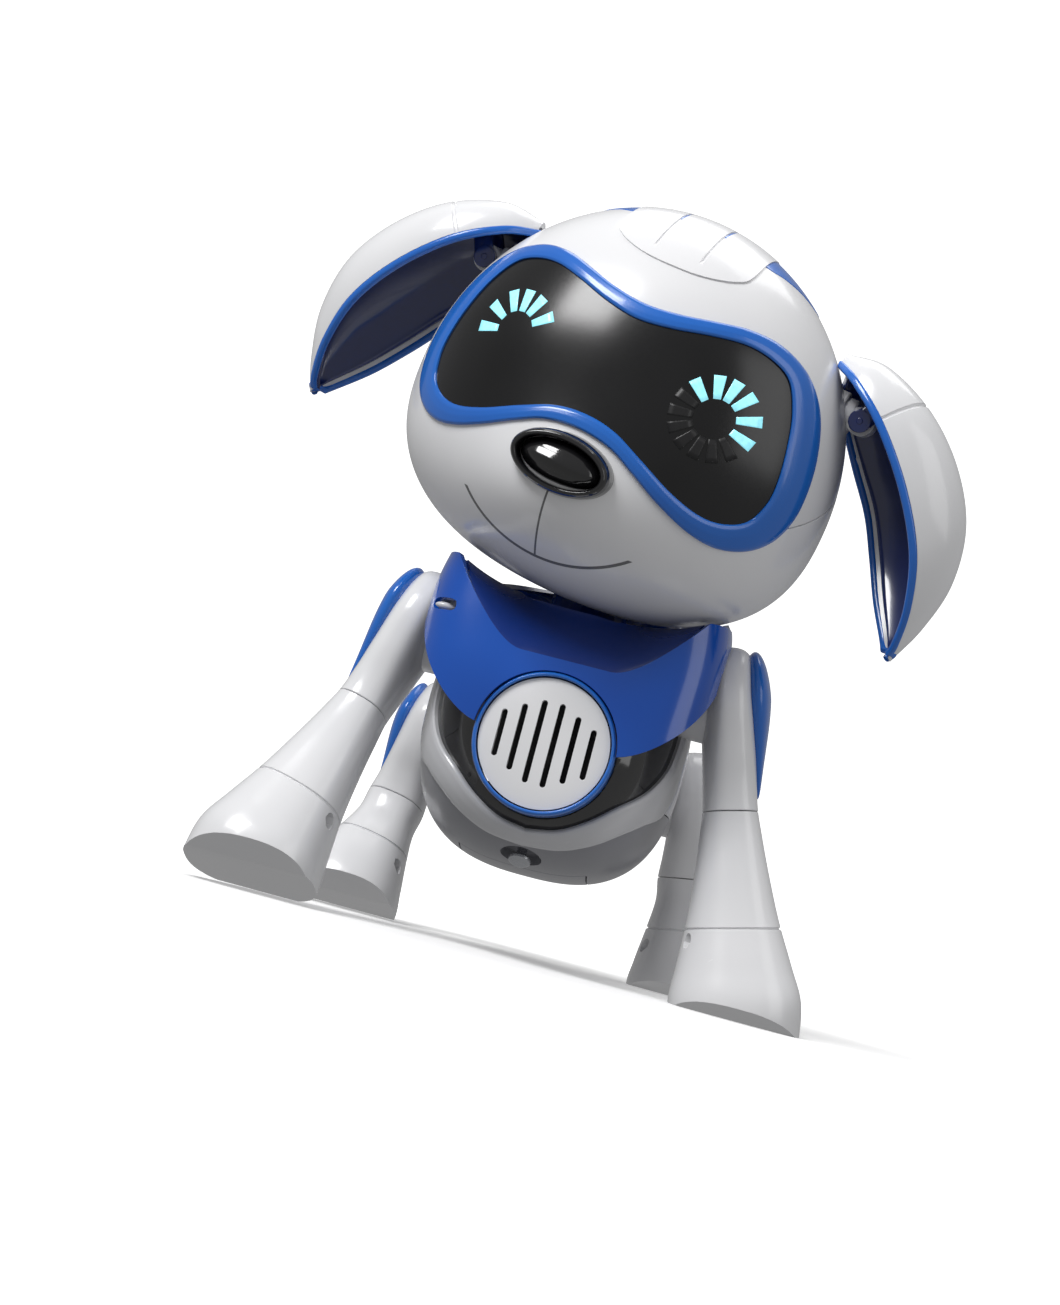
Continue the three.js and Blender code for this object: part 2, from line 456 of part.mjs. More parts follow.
function makeLeg(kind, side) {
  const isFront = kind === "front";
  const pivot = isFront ? FRONT_PIVOT : REAR_PIVOT;
  const sections = isFront ? FRONT_SECTIONS : REAR_SECTIONS;
  const knee = KNEE_AT[kind];
  const top = sections[0].t;
  const end = sections.at(-1).t;
  const name = `${side > 0 ? "left" : "right"}_${kind}`;
  const mirror = (made) => (side > 0 ? made : made.mirror([1, 0, 0]));
  const group = new THREE.Group();
  group.name = `${name}_leg_pivot`;
  group.position.set(side * pivot.x, pivot.y, pivot.z);
  group.rotation.x = side > 0 ? 0 : -rad(RIGHT_STEP);
  toy.add(group);

  // The upper leg carries the hub that turns in the torso's side.
  const hubInner = DRIVE_X + (isFront ? 7 : 5) - pivot.x;
  const hubOuter = -4;
  const hub = bar([hubInner, 0, 0], [hubOuter, 0, 0], pivot.hubRadius, 20);
  const thigh = legBody(sections, pivot.splay, top, knee - GAP / 2, 0, 16, 6);
  const hollow = legBody(sections, pivot.splay, 10, knee + 2, SHELL_WALL, 10, 2);
  const keyway = bar([hubInner - 1, 0, 0], [-2, 0, 0], AXLE_RADIUS + 0.1, 16);
  add(group, `${name}_upper_leg`, mirror(cut(joined(thigh, hub), hollow, keyway)), WHITE);

  // The boot is a hollow flared moulding with a flat sole and a bevelled toe.
  const boot = legBody(sections, pivot.splay, knee + GAP / 2, end, 0, 16, 4);
  const bootHollow = legBody(sections, pivot.splay, knee - 2, (pivot.z - 9) / Math.cos(rad(pivot.splay)), SHELL_WALL, 10, 2);
  const floor = box(-80, 120, -80, 80, -200, -pivot.z);
  const toeY = -(isFront ? 27 : 18.5) + TOE.length;
  const drop = 40 * Math.tan(rad(TOE.rise));
  const toe = blockAlongX([[toeY, -pivot.z], [toeY, -pivot.z - 40], [toeY - 40, -pivot.z - 40], [toeY - 40, -pivot.z + drop]], -80, 120);
  // The heel is bevelled so that a leg swung forward clears the floor.
  const heelY = (pivot.z * (1 - Math.cos(rad(RIGHT_STEP))) - 0.35) / Math.sin(rad(RIGHT_STEP));
  const heelRise = 40 * Math.tan(rad(RIGHT_STEP + 1));
  const heel = blockAlongX([[heelY, -pivot.z], [heelY + 40, -pivot.z + heelRise], [heelY + 40, -pivot.z - 40], [heelY, -pivot.z - 40]], -80, 120);
  const screwY = isFront ? -14 : -8;
  const screwT = isFront ? 70 : 47;
  const centreX = screwT * Math.sin(rad(pivot.splay));
  const screwZ = -screwT * Math.cos(rad(pivot.splay));
  const screwHole = bar([centreX - 40, screwY, screwZ - 2], [centreX - 6, screwY, screwZ - 2], 2.4, 14);
  add(group, `${name}_boot`, mirror(cut(boot, bootHollow, floor, toe, heel, screwHole)), WHITE);

  // The blue cover on the leg's outer face: a round cap with a tail.
  const capSize = isFront ? { across: 4.6, along: 14.6, tail: 27, back: 0 } : { across: 4.2, along: 15, tail: 20.5, back: 3 };
  const teardrop = moulded(new THREE.SphereGeometry(1, 14, 8), (p) => {
    const down = smooth((0.2 - p.y) / 1.2);
    const y = -p.z * capSize.along * (1 - 0.62 * down) + capSize.back * down;
    p.set(p.x * capSize.across * (1 - 0.55 * down), y, p.y * (p.y > 0 ? 17 : capSize.tail));
  });
  teardrop.rotateY(-rad(pivot.splay)).translate(8.2 * Math.cos(rad(pivot.splay)), 0, 8.2 * Math.sin(rad(pivot.splay)));
  const cover = cut(solid(teardrop), legBody(sections, pivot.splay, top, knee - GAP / 2, -GAP, 16, 6));
  const outermost = cover.decompose().sort((a, b) => b.boundingBox().max[0] - a.boundingBox().max[0])[0];
  add(group, `${name}_leg_cover`, mirror(outermost), BLUE);

  // Axle with a gear (front) or a crank arm (rear), and the pin that the link rod turns on.
  const inward = (x) => x - pivot.x;
  const axle = bar([inward(isFront ? DRIVE_X - 9.9 : DRIVE_X - 4.5), 0, 0], [-2.4, 0, 0], AXLE_RADIUS, 16);
  const pin = bar([inward(DRIVE_X - ROD_WIDTH - 1.6), 0, CRANK_RADIUS], [inward(DRIVE_X + 1), 0, CRANK_RADIUS], CRANK_PIN_RADIUS, 14);
  const plate = isFront
    ? blockAlongX(gearOutline(LEG_GEAR_TEETH, -Math.PI / 2, rad(52), 11.8), inward(DRIVE_X), inward(DRIVE_X + GEAR_WIDTH))
    : blockAlongX([[-4.5, -4.5], [4.5, -4.5], [3.4, CRANK_RADIUS + 3.2], [-3.4, CRANK_RADIUS + 3.2]], inward(DRIVE_X), inward(DRIVE_X + GEAR_WIDTH));
  add(group, `${name}_${isFront ? "axle_gear" : "axle_crank"}`, mirror(joined(axle, pin, plate)), NYLON);
  return group;
}

function makeDriveline(side) {
  const name = side > 0 ? "left" : "right";
  const swing = side > 0 ? 0 : -rad(RIGHT_STEP);
  // The link rod hangs on both crank pins and keeps parallel to the line between the axles.
  const reach = [REAR_PIVOT.y - FRONT_PIVOT.y, REAR_PIVOT.z - FRONT_PIVOT.z];
  const length = Math.hypot(...reach);
  const slope = Math.atan2(reach[1], reach[0]);
  const along = ([y, z]) => [y * Math.cos(slope) - z * Math.sin(slope), y * Math.sin(slope) + z * Math.cos(slope)];
  const outline = [
    ...Array.from({ length: 9 }, (_, i) => [length + 4 * Math.sin((i * Math.PI) / 8), -4 * Math.cos((i * Math.PI) / 8)]),
    ...Array.from({ length: 9 }, (_, i) => [-4 * Math.sin((i * Math.PI) / 8), 4 * Math.cos((i * Math.PI) / 8)]),
  ].map(along);
  const x0 = DRIVE_X - ROD_WIDTH - 0.8;
  const x1 = DRIVE_X - 0.8;
  const eyes = [[0, 0], reach].map(([y, z]) => bar([x0 - 1, y, z], [x1 + 1, y, z], CRANK_PIN_RADIUS + GAP, 16));
  const rod = cut(blockAlongX(outline, x0, x1), ...eyes);
  const rodGroup = new THREE.Group();
  rodGroup.name = `${name}_rod_pivot`;
  rodGroup.position.set(0, FRONT_PIVOT.y - CRANK_RADIUS * Math.sin(swing), FRONT_PIVOT.z + CRANK_RADIUS * Math.cos(swing));
  toy.add(rodGroup);
  add(rodGroup, `${name}_link_rod`, side > 0 ? rod : rod.mirror([1, 0, 0]), NYLON);

  // The motor's pinion, under the front axle, with a tooth gap facing it.
  const centre = meshDistance(LEG_GEAR_TEETH, PINION_TEETH);
  const halfTooth = Math.PI / PINION_TEETH;
  const teeth = gearOutline(PINION_TEETH, Math.PI / 2 + halfTooth, Math.PI, 0);
  const spin = -swing * (LEG_GEAR_TEETH / PINION_TEETH);
  const pinion = joined(blockAlongX(teeth, DRIVE_X, DRIVE_X + GEAR_WIDTH), bar([MOTOR_END + 1.9, 0, 0], [DRIVE_X + 1, 0, 0], 1.5, 10));
  const pinionGroup = new THREE.Group();
  pinionGroup.name = `${name}_pinion_pivot`;
  pinionGroup.position.set(0, FRONT_PIVOT.y, FRONT_PIVOT.z - centre);
  pinionGroup.rotation.x = spin;
  toy.add(pinionGroup);
  add(pinionGroup, `${name}_pinion`, side > 0 ? pinion : pinion.mirror([1, 0, 0]), NYLON);
}

// ---------- head ----------
function headBody(offset, columns = 22, rows = 13) {
  const ball = new THREE.SphereGeometry(1, columns, rows).rotateX(Math.PI / 2);
  return solid(
    moulded(ball, (p) => {
      const level = Math.hypot(p.x, p.y);
      const forward = Math.max(0, -p.y);
      const fuller = p.z < 0 ? (level ** HEAD.power + Math.abs(p.z) ** HEAD.power) ** (-1 / HEAD.power) : 1;
      p.multiplyScalar(fuller);
      p.x *= HEAD.halfWidth + offset;
      p.y *= (p.y < 0 ? HEAD.front : HEAD.back) + offset;
      p.z *= (p.z < 0 ? HEAD.down : HEAD.up) + offset;
      p.z += HEAD.widestZ;
      p.y -= MUZZLE.reach * forward * Math.exp(-((p.x / MUZZLE.width) ** 2) - ((p.z - MUZZLE.z) / MUZZLE.height) ** 2);
    }),
  );
}

const frameHalf = [
  [0, 29.6], [10, 30.7], [20, 33], [28, 34.6], [36.5, 34.3], [44.5, 31], [50.5, 25.5], [55, 18], [58.3, 8], [59.7, -2],
  [59.3, -10], [56.8, -17], [52, -21.8], [45, -24], [37, -22.8], [27.5, -18.8], [18.2, -13.8], [10, -10], [0, -8.6],
];
const lensHalf = [
  [0, 24.7], [10, 26], [20, 28.5], [29, 30.1], [36.5, 29.3], [42.8, 26], [47.4, 18.2], [50.2, 9], [51.8, 0], [51.8, -7],
  [49.3, -13.6], [44, -16.7], [37.5, -16.9], [28.8, -14.1], [18.5, -9.2], [9, -5.2], [0, -4],
];
const frameOutline = mirroredOutline(frameHalf, 40);
const lensOutline = mirroredOutline(lensHalf, 40);

const crownOutline = [[-20.7, -29], [-11, -35.5], [0, -37.5], [11, -35.5], [20.7, -29], [20.7, 8], [0, 13], [-20.7, 8]].reverse();
const crownBandOutline = [[-20.7, -17], [20.7, -17], [37, 1], [35, 14], [20, 23], [0, 26], [-20, 23], [-35, 14], [-37, 1]].reverse();

const neck = new THREE.Group();
const head = new THREE.Group();

// A face block cut from the front half only, in head coordinates.
const faceBlock = (outline) => blockAlongY(outline, -90, -8);
const crownBlock = (outline) => blockAlongZ(outline, 20, 90);

const neckTurn = (neckUp) => new THREE.Quaternion().setFromAxisAngle(neckUp, rad(HEAD_TURN));

// How the head stands: turned about the neck, dropped and tilted.
function headPose(neckUp) {
  const drop = new THREE.Quaternion().setFromAxisAngle(new THREE.Vector3(1, 0, 0), rad(HEAD_DROP));
  const tilt = new THREE.Quaternion().setFromAxisAngle(new THREE.Vector3(0, 1, 0), rad(HEAD_TILT));
  return neckTurn(neckUp).multiply(drop).multiply(tilt);
}

function makeHead() {
  const neckUp = new THREE.Vector3(0, -Math.sin(rad(NECK_LEAN)), Math.cos(rad(NECK_LEAN)));
  const middle = NECK_BASE.clone().addScaledVector(neckUp, NECK_LENGTH);
  neck.name = "neck_pivot";
  neck.position.copy(middle);
  neck.quaternion.copy(neckTurn(neckUp));
  head.name = "head_pivot";
  head.quaternion.copy(neckTurn(neckUp).invert().multiply(headPose(neckUp)));
  neck.add(head);
  toy.add(neck);

  // The neck post runs up inside the head to the tilt axle. In neck coordinates the head's centre is the origin.
  const down = (d) => neckUp.clone().multiplyScalar(-d).toArray();
  const sight = new THREE.Vector3(0, Math.cos(rad(HEAD_DROP)), Math.sin(rad(HEAD_DROP)));
  const axlePoint = (y) => sight.clone().multiplyScalar(y).toArray();
  const drop = new THREE.Matrix4().makeRotationX(rad(HEAD_DROP));
  const toothed = new THREE.ExtrudeGeometry(
    new THREE.Shape(gearOutline(TILT_GEAR_TEETH, Math.PI / 2, rad(50), 8).map((p) => new THREE.Vector2(...p))),
    { depth: GEAR_WIDTH, bevelEnabled: false },
  );
  toothed.rotateX(Math.PI / 2).translate(0, 14 + GEAR_WIDTH, 0).applyMatrix4(drop);
  const post = joined(
    bar(down(NECK_LENGTH + 7), down(18), NECK_RADIUS, 20),
    bar(down(19), down(0), 6.5, 16),
    bar(axlePoint(-8), axlePoint(8.5), 7.5, 16),
    bar(axlePoint(-15.5), axlePoint(18), AXLE_RADIUS, 14),
    solid(toothed),
  );
  add(neck, "neck_post", post, NYLON);

  // Shells.
  const shell = cut(headBody(0), headBody(-SHELL_WALL, 18, 11));
  const faceHole = faceBlock(grown(frameOutline, GAP));
  const crownHole = joined(crownBlock(grown(crownOutline, GAP)), crownBlock(grown(crownBandOutline, GAP)));
  const armHoles = bar([-90, EAR.pivotY, EAR.pivotZ], [90, EAR.pivotY, EAR.pivotZ], EAR.armRadius + GAP, 20);
  const lean = rad(NECK_LEAN - HEAD_DROP);
  const throat = solid(
    moulded(new THREE.CylinderGeometry(1, 1, 50, 24), (p) => {
      p.set(p.x * 31, -p.z * 15.5, p.y - 55);
    }).rotateX(lean),
  );
  const seamSlope = Math.atan(0.45);
  const half = (up) => {
    const block = new THREE.BoxGeometry(300, 300, 200).translate(0, 0, up * (100 + GAP / 2));
    return solid(block.rotateX(seamSlope).translate(0, 0, -0.5));
  };
  const stem = bar([0, -80, NOSE.z], [0, -30, NOSE.z], 3.4, 16);
  // Under the visor the whole muzzle belongs to the jaw.
  const muzzle = box(-45, 45, -90, -30, -60, 10);
  add(head, "head_top_shell", cut(shell.intersect(half(1)), muzzle, faceHole, crownHole, armHoles, throat), WHITE);
  add(head, "head_jaw_shell", largest(cut(shell.intersect(joined(half(-1), muzzle)), faceHole, armHoles, throat, stem)), WHITE);

  // Visor.
  const frame = cut(headBody(VISOR.frameProud).intersect(faceBlock(frameOutline)), headBody(VISOR.frameProud - VISOR.frameWall), faceBlock(grown(lensOutline, GAP)));
  add(head, "visor_frame", frame, BLUE);
  add(head, "visor_lens", cut(headBody(VISOR.lensProud).intersect(faceBlock(lensOutline)), headBody(VISOR.lensProud - VISOR.lensWall)), BLACK_GLOSS);
  const boardBody = cut(headBody(-4.2, 18, 11).intersect(faceBlock(grown(lensOutline, -4))), headBody(-5.8, 18, 11));
  add(head, "eye_board", boardBody, BOARD);

  // Crown.
  const crown = cut(headBody(0.5).intersect(crownBlock(crownOutline)), headBody(-SHELL_WALL, 18, 11));
  add(head, "crown_panel", crown, WHITE);
  const crownBand = cut(headBody(0.2).intersect(crownBlock(crownBandOutline)), headBody(-SHELL_WALL, 18, 11), crownBlock(grown(crownOutline, GAP)));
  add(head, "crown_band", largest(crownBand), BLUE);

  // Nose: a fixed bezel and a button that presses in.
  const noseY = -HEAD.front - 4.5;
  const dome = () => solid(new THREE.SphereGeometry(1, 18, 10).rotateX(Math.PI / 2).scale(NOSE.halfWidth, NOSE.depth, NOSE.halfHeight).translate(0, noseY, NOSE.z));
  const lip = [NOSE.halfWidth - NOSE.rim, NOSE.halfHeight - NOSE.rim];
  const inside = (grow) => blockAlongY(ellipse(lip[0] + grow, lip[1] + grow, 0, NOSE.z), -90, -20);
  add(head, "nose_bezel", cut(dome(), headBody(GAP), inside(GAP)), BLACK_GLOSS);
  const cap = cut(dome().intersect(inside(0)), headBody(NOSE.travel + 0.6));
  const plunger = bar([0, noseY - 3, NOSE.z], [0, noseY + 9, NOSE.z], 3, 14);
  add(head, "nose_button", joined(cap, plunger), BLACK_GLOSS);

  // The frame inside the head, which turns on the post's axle and holds the tilt motor.
  const motorZ = meshDistance(TILT_GEAR_TEETH, PINION_TEETH);
  const plates = joined(box(-13, 13, -13.5, -10.5, -7, 36), box(-13, 13, 9.5, 12.5, -7, 36), box(-13, 13, -13.5, 12.5, 33, 36));
  const axleHole = bar([0, -20, 0], [0, 20, 0], AXLE_RADIUS + GAP, 20);
  const shaftHole = bar([0, 5, motorZ], [0, 20, motorZ], 2.5, 14);
  add(head, "head_frame", cut(plates, axleHole, shaftHole), NYLON);
  add(head, "tilt_motor", bar([0, -9.5, motorZ], [0, 9, motorZ], 8.2, 20), STEEL);

  const pinionGroup = new THREE.Group();
  pinionGroup.name = "tilt_pinion_pivot";
  pinionGroup.position.set(0, 0, motorZ);
  pinionGroup.rotation.y = rad(HEAD_TILT) * (TILT_GEAR_TEETH / PINION_TEETH);
  head.add(pinionGroup);
  const teeth = gearOutline(PINION_TEETH, -Math.PI / 2 + Math.PI / PINION_TEETH, Math.PI, 0);
  add(pinionGroup, "tilt_pinion", joined(blockAlongY(teeth, 14, 14 + GEAR_WIDTH), bar([0, 9.4, 0], [0, 15, 0], 1.5, 10)), NYLON);
}

// ---------- ears ----------
// Curves down the left ear, with x from its pivot: its front rim, back rim and the ridge of its outer side.
const earCurve = (points) => new THREE.CatmullRomCurve3(points.map(([x, y, z]) => new THREE.Vector3(EAR.pivotX + x, y, z)), false, "centripetal");
const EAR_FRONT = earCurve([[-12, -1, 37.5], [-4, -10, 34], [8, -15, 25.5], [21, -15, 12], [31, -12, -3], [36, -7, -18], [37, -2, -30], [36, 1, -35]]);
const EAR_BACK = earCurve([[-11, 12, 31], [-6, 20, 22], [2, 25, 11], [11, 25, 0], [18, 22, -11], [25, 16, -22], [32, 9, -31], [35, 4, -35]]);
const EAR_RIDGE = earCurve([[-11.5, 6, 39.5], [1, 7, 40], [17, 8, 33], [30, 9, 22], [39, 9, 8], [42.5, 8, -8], [41, 6, -23], [37, 3, -36]]);

// A layer of the ear between two insets from its outer skin, from one fraction of its length to another.
function earLayer(outerInset, innerInset, start, end) {
  const slab = new THREE.BoxGeometry(1, 1, 1, 8, 8, 1);
  return solid(
    moulded(slab, (p) => {
      const s = THREE.MathUtils.lerp(start, end, 0.5 - p.y);
      const across = p.x * Math.PI;
      const front = EAR_FRONT.getPoint(s);
      const backRim = EAR_BACK.getPoint(s);
      const centre = front.clone().add(backRim).multiplyScalar(0.5);
      const rise = EAR_RIDGE.getPoint(s).sub(centre);
      const width = backRim.sub(front).multiplyScalar(0.5);
      const inset = p.z > 0 ? outerInset : innerInset;
      const deep = Math.max(0.15, 1 - inset / rise.length());
      const wide = Math.max(0.15, 1 - inset / width.length());
      p.copy(centre).addScaledVector(rise, Math.cos(across) * deep).addScaledVector(width, Math.sin(across) * wide);
    }),
  );
}

function makeEar(side) {
  const name = side > 0 ? "left" : "right";
  const mirror = (made) => (side > 0 ? made : made.mirror([1, 0, 0]));
  const back = (made) => mirror(made.translate([-EAR.pivotX, -EAR.pivotY, -EAR.pivotZ]));
  const { pivotX, pivotY, pivotZ, barrelRadius, barrelLength, armRadius, wall } = EAR;
  const arm = joined(
    bar([pivotX - 18, pivotY, pivotZ], [pivotX - 5.5, pivotY, pivotZ], armRadius, 16),
    bar([pivotX - 6, pivotY, pivotZ], [pivotX - 2, pivotY, pivotZ], barrelLength / 2 - 0.2, 14),
    bar([pivotX, pivotY - barrelLength / 2, pivotZ], [pivotX, pivotY + barrelLength / 2, pivotZ], barrelRadius, 16),
  );
  const pinHole = bar([pivotX, pivotY - 20, pivotZ], [pivotX, pivotY + 20, pivotZ], 1.3, 10);
  add(head, `${name}_ear_arm`, mirror(cut(arm, pinHole)), WHITE);

  const ear = new THREE.Group();
  ear.name = `${name}_ear_pivot`;
  ear.position.set(side * pivotX, pivotY, pivotZ);
  head.add(ear);
  add(ear, `${name}_ear_shell`, back(earLayer(0, wall, 0, 1)), WHITE);
  const lugs = [-1, 1].map((end) => {
    const y0 = pivotY + end * (barrelLength / 2 + 1.6);
    return box(pivotX - 3, pivotX + 12, Math.min(y0 - 1.3, y0 + 1.3), Math.max(y0 - 1.3, y0 + 1.3), pivotZ - 3.4, pivotZ + 14);
  });
  const middle = earLayer(-6, 60, 0.04, 0.95);
  const cavity = earLayer(wall + 2 * GAP, 40, 0, 1).intersect(middle);
  const pin = bar([pivotX, pivotY - 8, pivotZ], [pivotX, pivotY + 8, pivotZ], 1, 10);
  const lining = earLayer(wall + 2 * GAP, wall + 2 * GAP + 1.5, 0, 1).intersect(middle);
  add(ear, `${name}_ear_lining`, back(joined(lining, ...lugs.map((lug) => lug.intersect(cavity)), pin)), DEEP_BLUE);
}

// ---------- tail and switch ----------
function makeTail() {
  const tail = new THREE.Group();
  tail.name = "tail_pivot";
  tail.position.set(0, RUMP_Y - 10, 91);
  toy.add(tail);
  const root = bar([0, 0, -5.5], [0, 0, 5.5], 4.6, 14);
  const curve = new THREE.QuadraticBezierCurve3(new THREE.Vector3(0, 1, 0), new THREE.Vector3(0, 16, 3), new THREE.Vector3(0, 20, 26));
  const rod = new THREE.CylinderGeometry(0.35, 1, 1, 10, 5);
  moulded(rod, (p) => {
    const s = p.y + 0.5;
    const at = curve.getPoint(s);
    const along = curve.getTangent(s);
    const radius = 4.2;
    const outward = new THREE.Vector3(0, along.z, -along.y);
    p.copy(at.addScaledVector(outward, -p.z * radius).add(new THREE.Vector3(p.x * radius, 0, 0)));
  });
  const tip = solid(new THREE.SphereGeometry(1.9, 10, 6).translate(0, 20, 26));
  add(tail, "tail", joined(root, solid(rod), tip), WHITE);
}

function makeSwitch() {
  const knob = new THREE.Group();
  knob.name = "switch_pivot";
  knob.position.set(-SWITCH_TRAVEL / 2, RUMP_Y - 0.4, 66);
  toy.add(knob);
  add(knob, "power_switch", joined(box(-2.2, 2.2, -2, 2.2, -1.9, 1.9), box(-2.6, 2.6, -5, -3.2, -4, 4), box(-1.4, 1.4, -4, -1, -1.5, 1.5)), SMOKE);
}

makeTorso();
makeCollar();
makeSpeaker();
makeTorsoInside();
for (const side of [1, -1]) {
  makeLeg("front", side);
  makeLeg("rear", side);
  makeDriveline(side);
}
makeHead();
for (const side of [1, -1]) makeEar(side);
makeTail();
makeSwitch();

// The origin is the middle of the toy's outline on the floor.
toy.updateMatrixWorld(true);
const extent = new THREE.Box3().setFromObject(toy, true);
toy.children.forEach((child) => {
  child.position.x -= (extent.min.x + extent.max.x) / 2;
  child.position.y -= (extent.min.y + extent.max.y) / 2;
});

export default toy;
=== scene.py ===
import json
from math import cos, pi, radians, sin

import bmesh
import bpy
import numpy as np
from mathutils import Matrix, Vector


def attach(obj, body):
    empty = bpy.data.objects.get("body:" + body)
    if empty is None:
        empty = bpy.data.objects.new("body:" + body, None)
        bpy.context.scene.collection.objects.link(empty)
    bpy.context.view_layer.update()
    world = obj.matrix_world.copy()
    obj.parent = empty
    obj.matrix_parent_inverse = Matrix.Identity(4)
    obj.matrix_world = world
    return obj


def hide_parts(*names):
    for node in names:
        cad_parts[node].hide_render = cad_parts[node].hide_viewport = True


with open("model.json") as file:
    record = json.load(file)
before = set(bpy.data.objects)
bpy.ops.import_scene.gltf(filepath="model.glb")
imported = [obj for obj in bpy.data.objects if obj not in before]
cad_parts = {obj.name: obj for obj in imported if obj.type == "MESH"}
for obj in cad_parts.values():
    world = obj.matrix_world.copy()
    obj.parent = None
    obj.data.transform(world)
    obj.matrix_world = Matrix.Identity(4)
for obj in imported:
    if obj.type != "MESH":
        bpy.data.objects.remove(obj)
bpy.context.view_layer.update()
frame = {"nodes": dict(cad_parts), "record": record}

# ---- Back shell ----
# The white upper half of the body: one glossy ABS moulding 1.5 mm thick, open at the chest and the neck,
# screwed to the grey belly along the joint line. The drive and the neck motor hang inside it.
TORSO_HALF_WIDTH, TORSO_FRONT, TORSO_BACK, TORSO_DOWN, TORSO_UP = 40.5, 61, 62, 43, 40
TORSO_Y, TORSO_Z, TORSO_POWER = 14, 68, 2.7
SEAM_Z, BAND_BACK, WALL = 53, -12, 2
BACK_WALL = WALL - 0.5
FRONT_PIVOT, REAR_PIVOT = (48.4, -19, 88), (46.6, 59, 62)

joints = {j["name"]: j for j in frame["record"]["behaviour"]["joints"]}
toy_corner = Vector(joints["neck_turn"]["pos_m"]) - Vector((0, -0.004, 0.104))
toy_place = Matrix.Translation(toy_corner) @ Matrix.Scale(0.001, 4)
torso_heart = (0, TORSO_Y, TORSO_Z)


def mould(bm, rule):
    """Moves every corner by a rule on its coordinates."""
    x, y, z = np.array([v.co for v in bm.verts]).T
    for v, co in zip(bm.verts, np.stack(np.broadcast_arrays(*rule(x, y, z)), 1)):
        v.co = co
    return bm


def ball(columns, rows):
    bm = bmesh.new()
    bmesh.ops.create_uvsphere(bm, u_segments=columns, v_segments=rows, radius=1)
    return bm


def sheet(columns, rows, across=(), down=()):
    """A square sheet from 0 to 1 each way, with extra lines scored across it where a furrow or a fold comes."""
    bm = bmesh.new()
    bmesh.ops.create_grid(bm, x_segments=columns, y_segments=rows, size=0.5, matrix=Matrix.Translation((0.5, 0.5, 0)))
    for places, normal in ((across, Vector((1, 0, 0))), (down, Vector((0, 1, 0)))):
        for at in places:
            everything = [*bm.verts, *bm.edges, *bm.faces]
            bmesh.ops.bisect_plane(bm, geom=everything, dist=1e-6, plane_co=normal * at, plane_no=normal)
    return bm


def trim(bm, beyond):
    """Cuts a sheet along the line where the rule is nought, and drops the side where it is above nought."""
    bm.verts.index_update()
    far = beyond(*np.array([v.co for v in bm.verts]).T)
    pulled = {}
    for e in bm.edges:
        v, w = e.verts
        a, b = far[v.index], far[w.index]
        if a * b < 0:
            share = a / (a - b)
            if share < 0.3:
                pulled.setdefault(v.index, (v, v.co.lerp(w.co, share)))
            if share > 0.7:
                pulled.setdefault(w.index, (w, v.co.lerp(w.co, share)))
    for v, co in pulled.values():
        v.co = co
        far[v.index] = 0
    rim = [v for v in bm.verts if abs(far[v.index]) < 1e-6]
    crossed = [(e, far[e.verts[0].index], far[e.verts[1].index]) for e in bm.edges]
    for e, a, b in crossed:
        if a * b < 0:
            rim.append(bmesh.utils.edge_split(e, e.verts[0], a / (a - b))[1])
    bmesh.ops.connect_verts(bm, verts=rim)
    middles = beyond(*np.array([f.calc_center_median() for f in bm.faces]).T)
    bmesh.ops.delete(bm, geom=[f for f, far_out in zip(bm.faces, middles) if far_out > 0], context="FACES")
    return bm


def piece(bm, name, body, finish, nodes=(), place=toy_place, heart=None, wall=0, edge=0, segments=3, sharp=38,
    even=True):
    """Puts a finished shape in its place as an object that rides on its body and stands for its CAD nodes."""
    bmesh.ops.remove_doubles(bm, verts=bm.verts, dist=2e-3)
    bmesh.ops.recalc_face_normals(bm, faces=bm.faces)
    if heart is not None:
        outward = sum((f.calc_center_median() - Vector(heart)).dot(f.normal) * f.calc_area() for f in bm.faces)
        if outward < 0:
            bmesh.ops.reverse_faces(bm, faces=bm.faces)
    bm.transform(place)
    if place.determinant() < 0:
        bmesh.ops.reverse_faces(bm, faces=bm.faces)
    mesh = bpy.data.meshes.new(name)
    bm.to_mesh(mesh)
    bm.free()
    mesh.shade_smooth()
    mesh.set_sharp_from_angle(angle=radians(sharp))
    obj = bpy.data.objects.new(name, mesh)
    bpy.context.scene.collection.objects.link(obj)
    mesh.materials.append(finish)
    if wall:
        thick = obj.modifiers.new("wall", "SOLIDIFY")
        thick.thickness, thick.offset, thick.use_even_offset = wall / 1000, -1, even
    if edge:
        soft = obj.modifiers.new("edges", "BEVEL")
        soft.width, soft.segments, soft.limit_method = edge / 1000, segments, "ANGLE"
        soft.angle_limit, soft.harden_normals = radians(sharp), True
    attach(obj, body)
    if nodes:
        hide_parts(*nodes)
    return obj


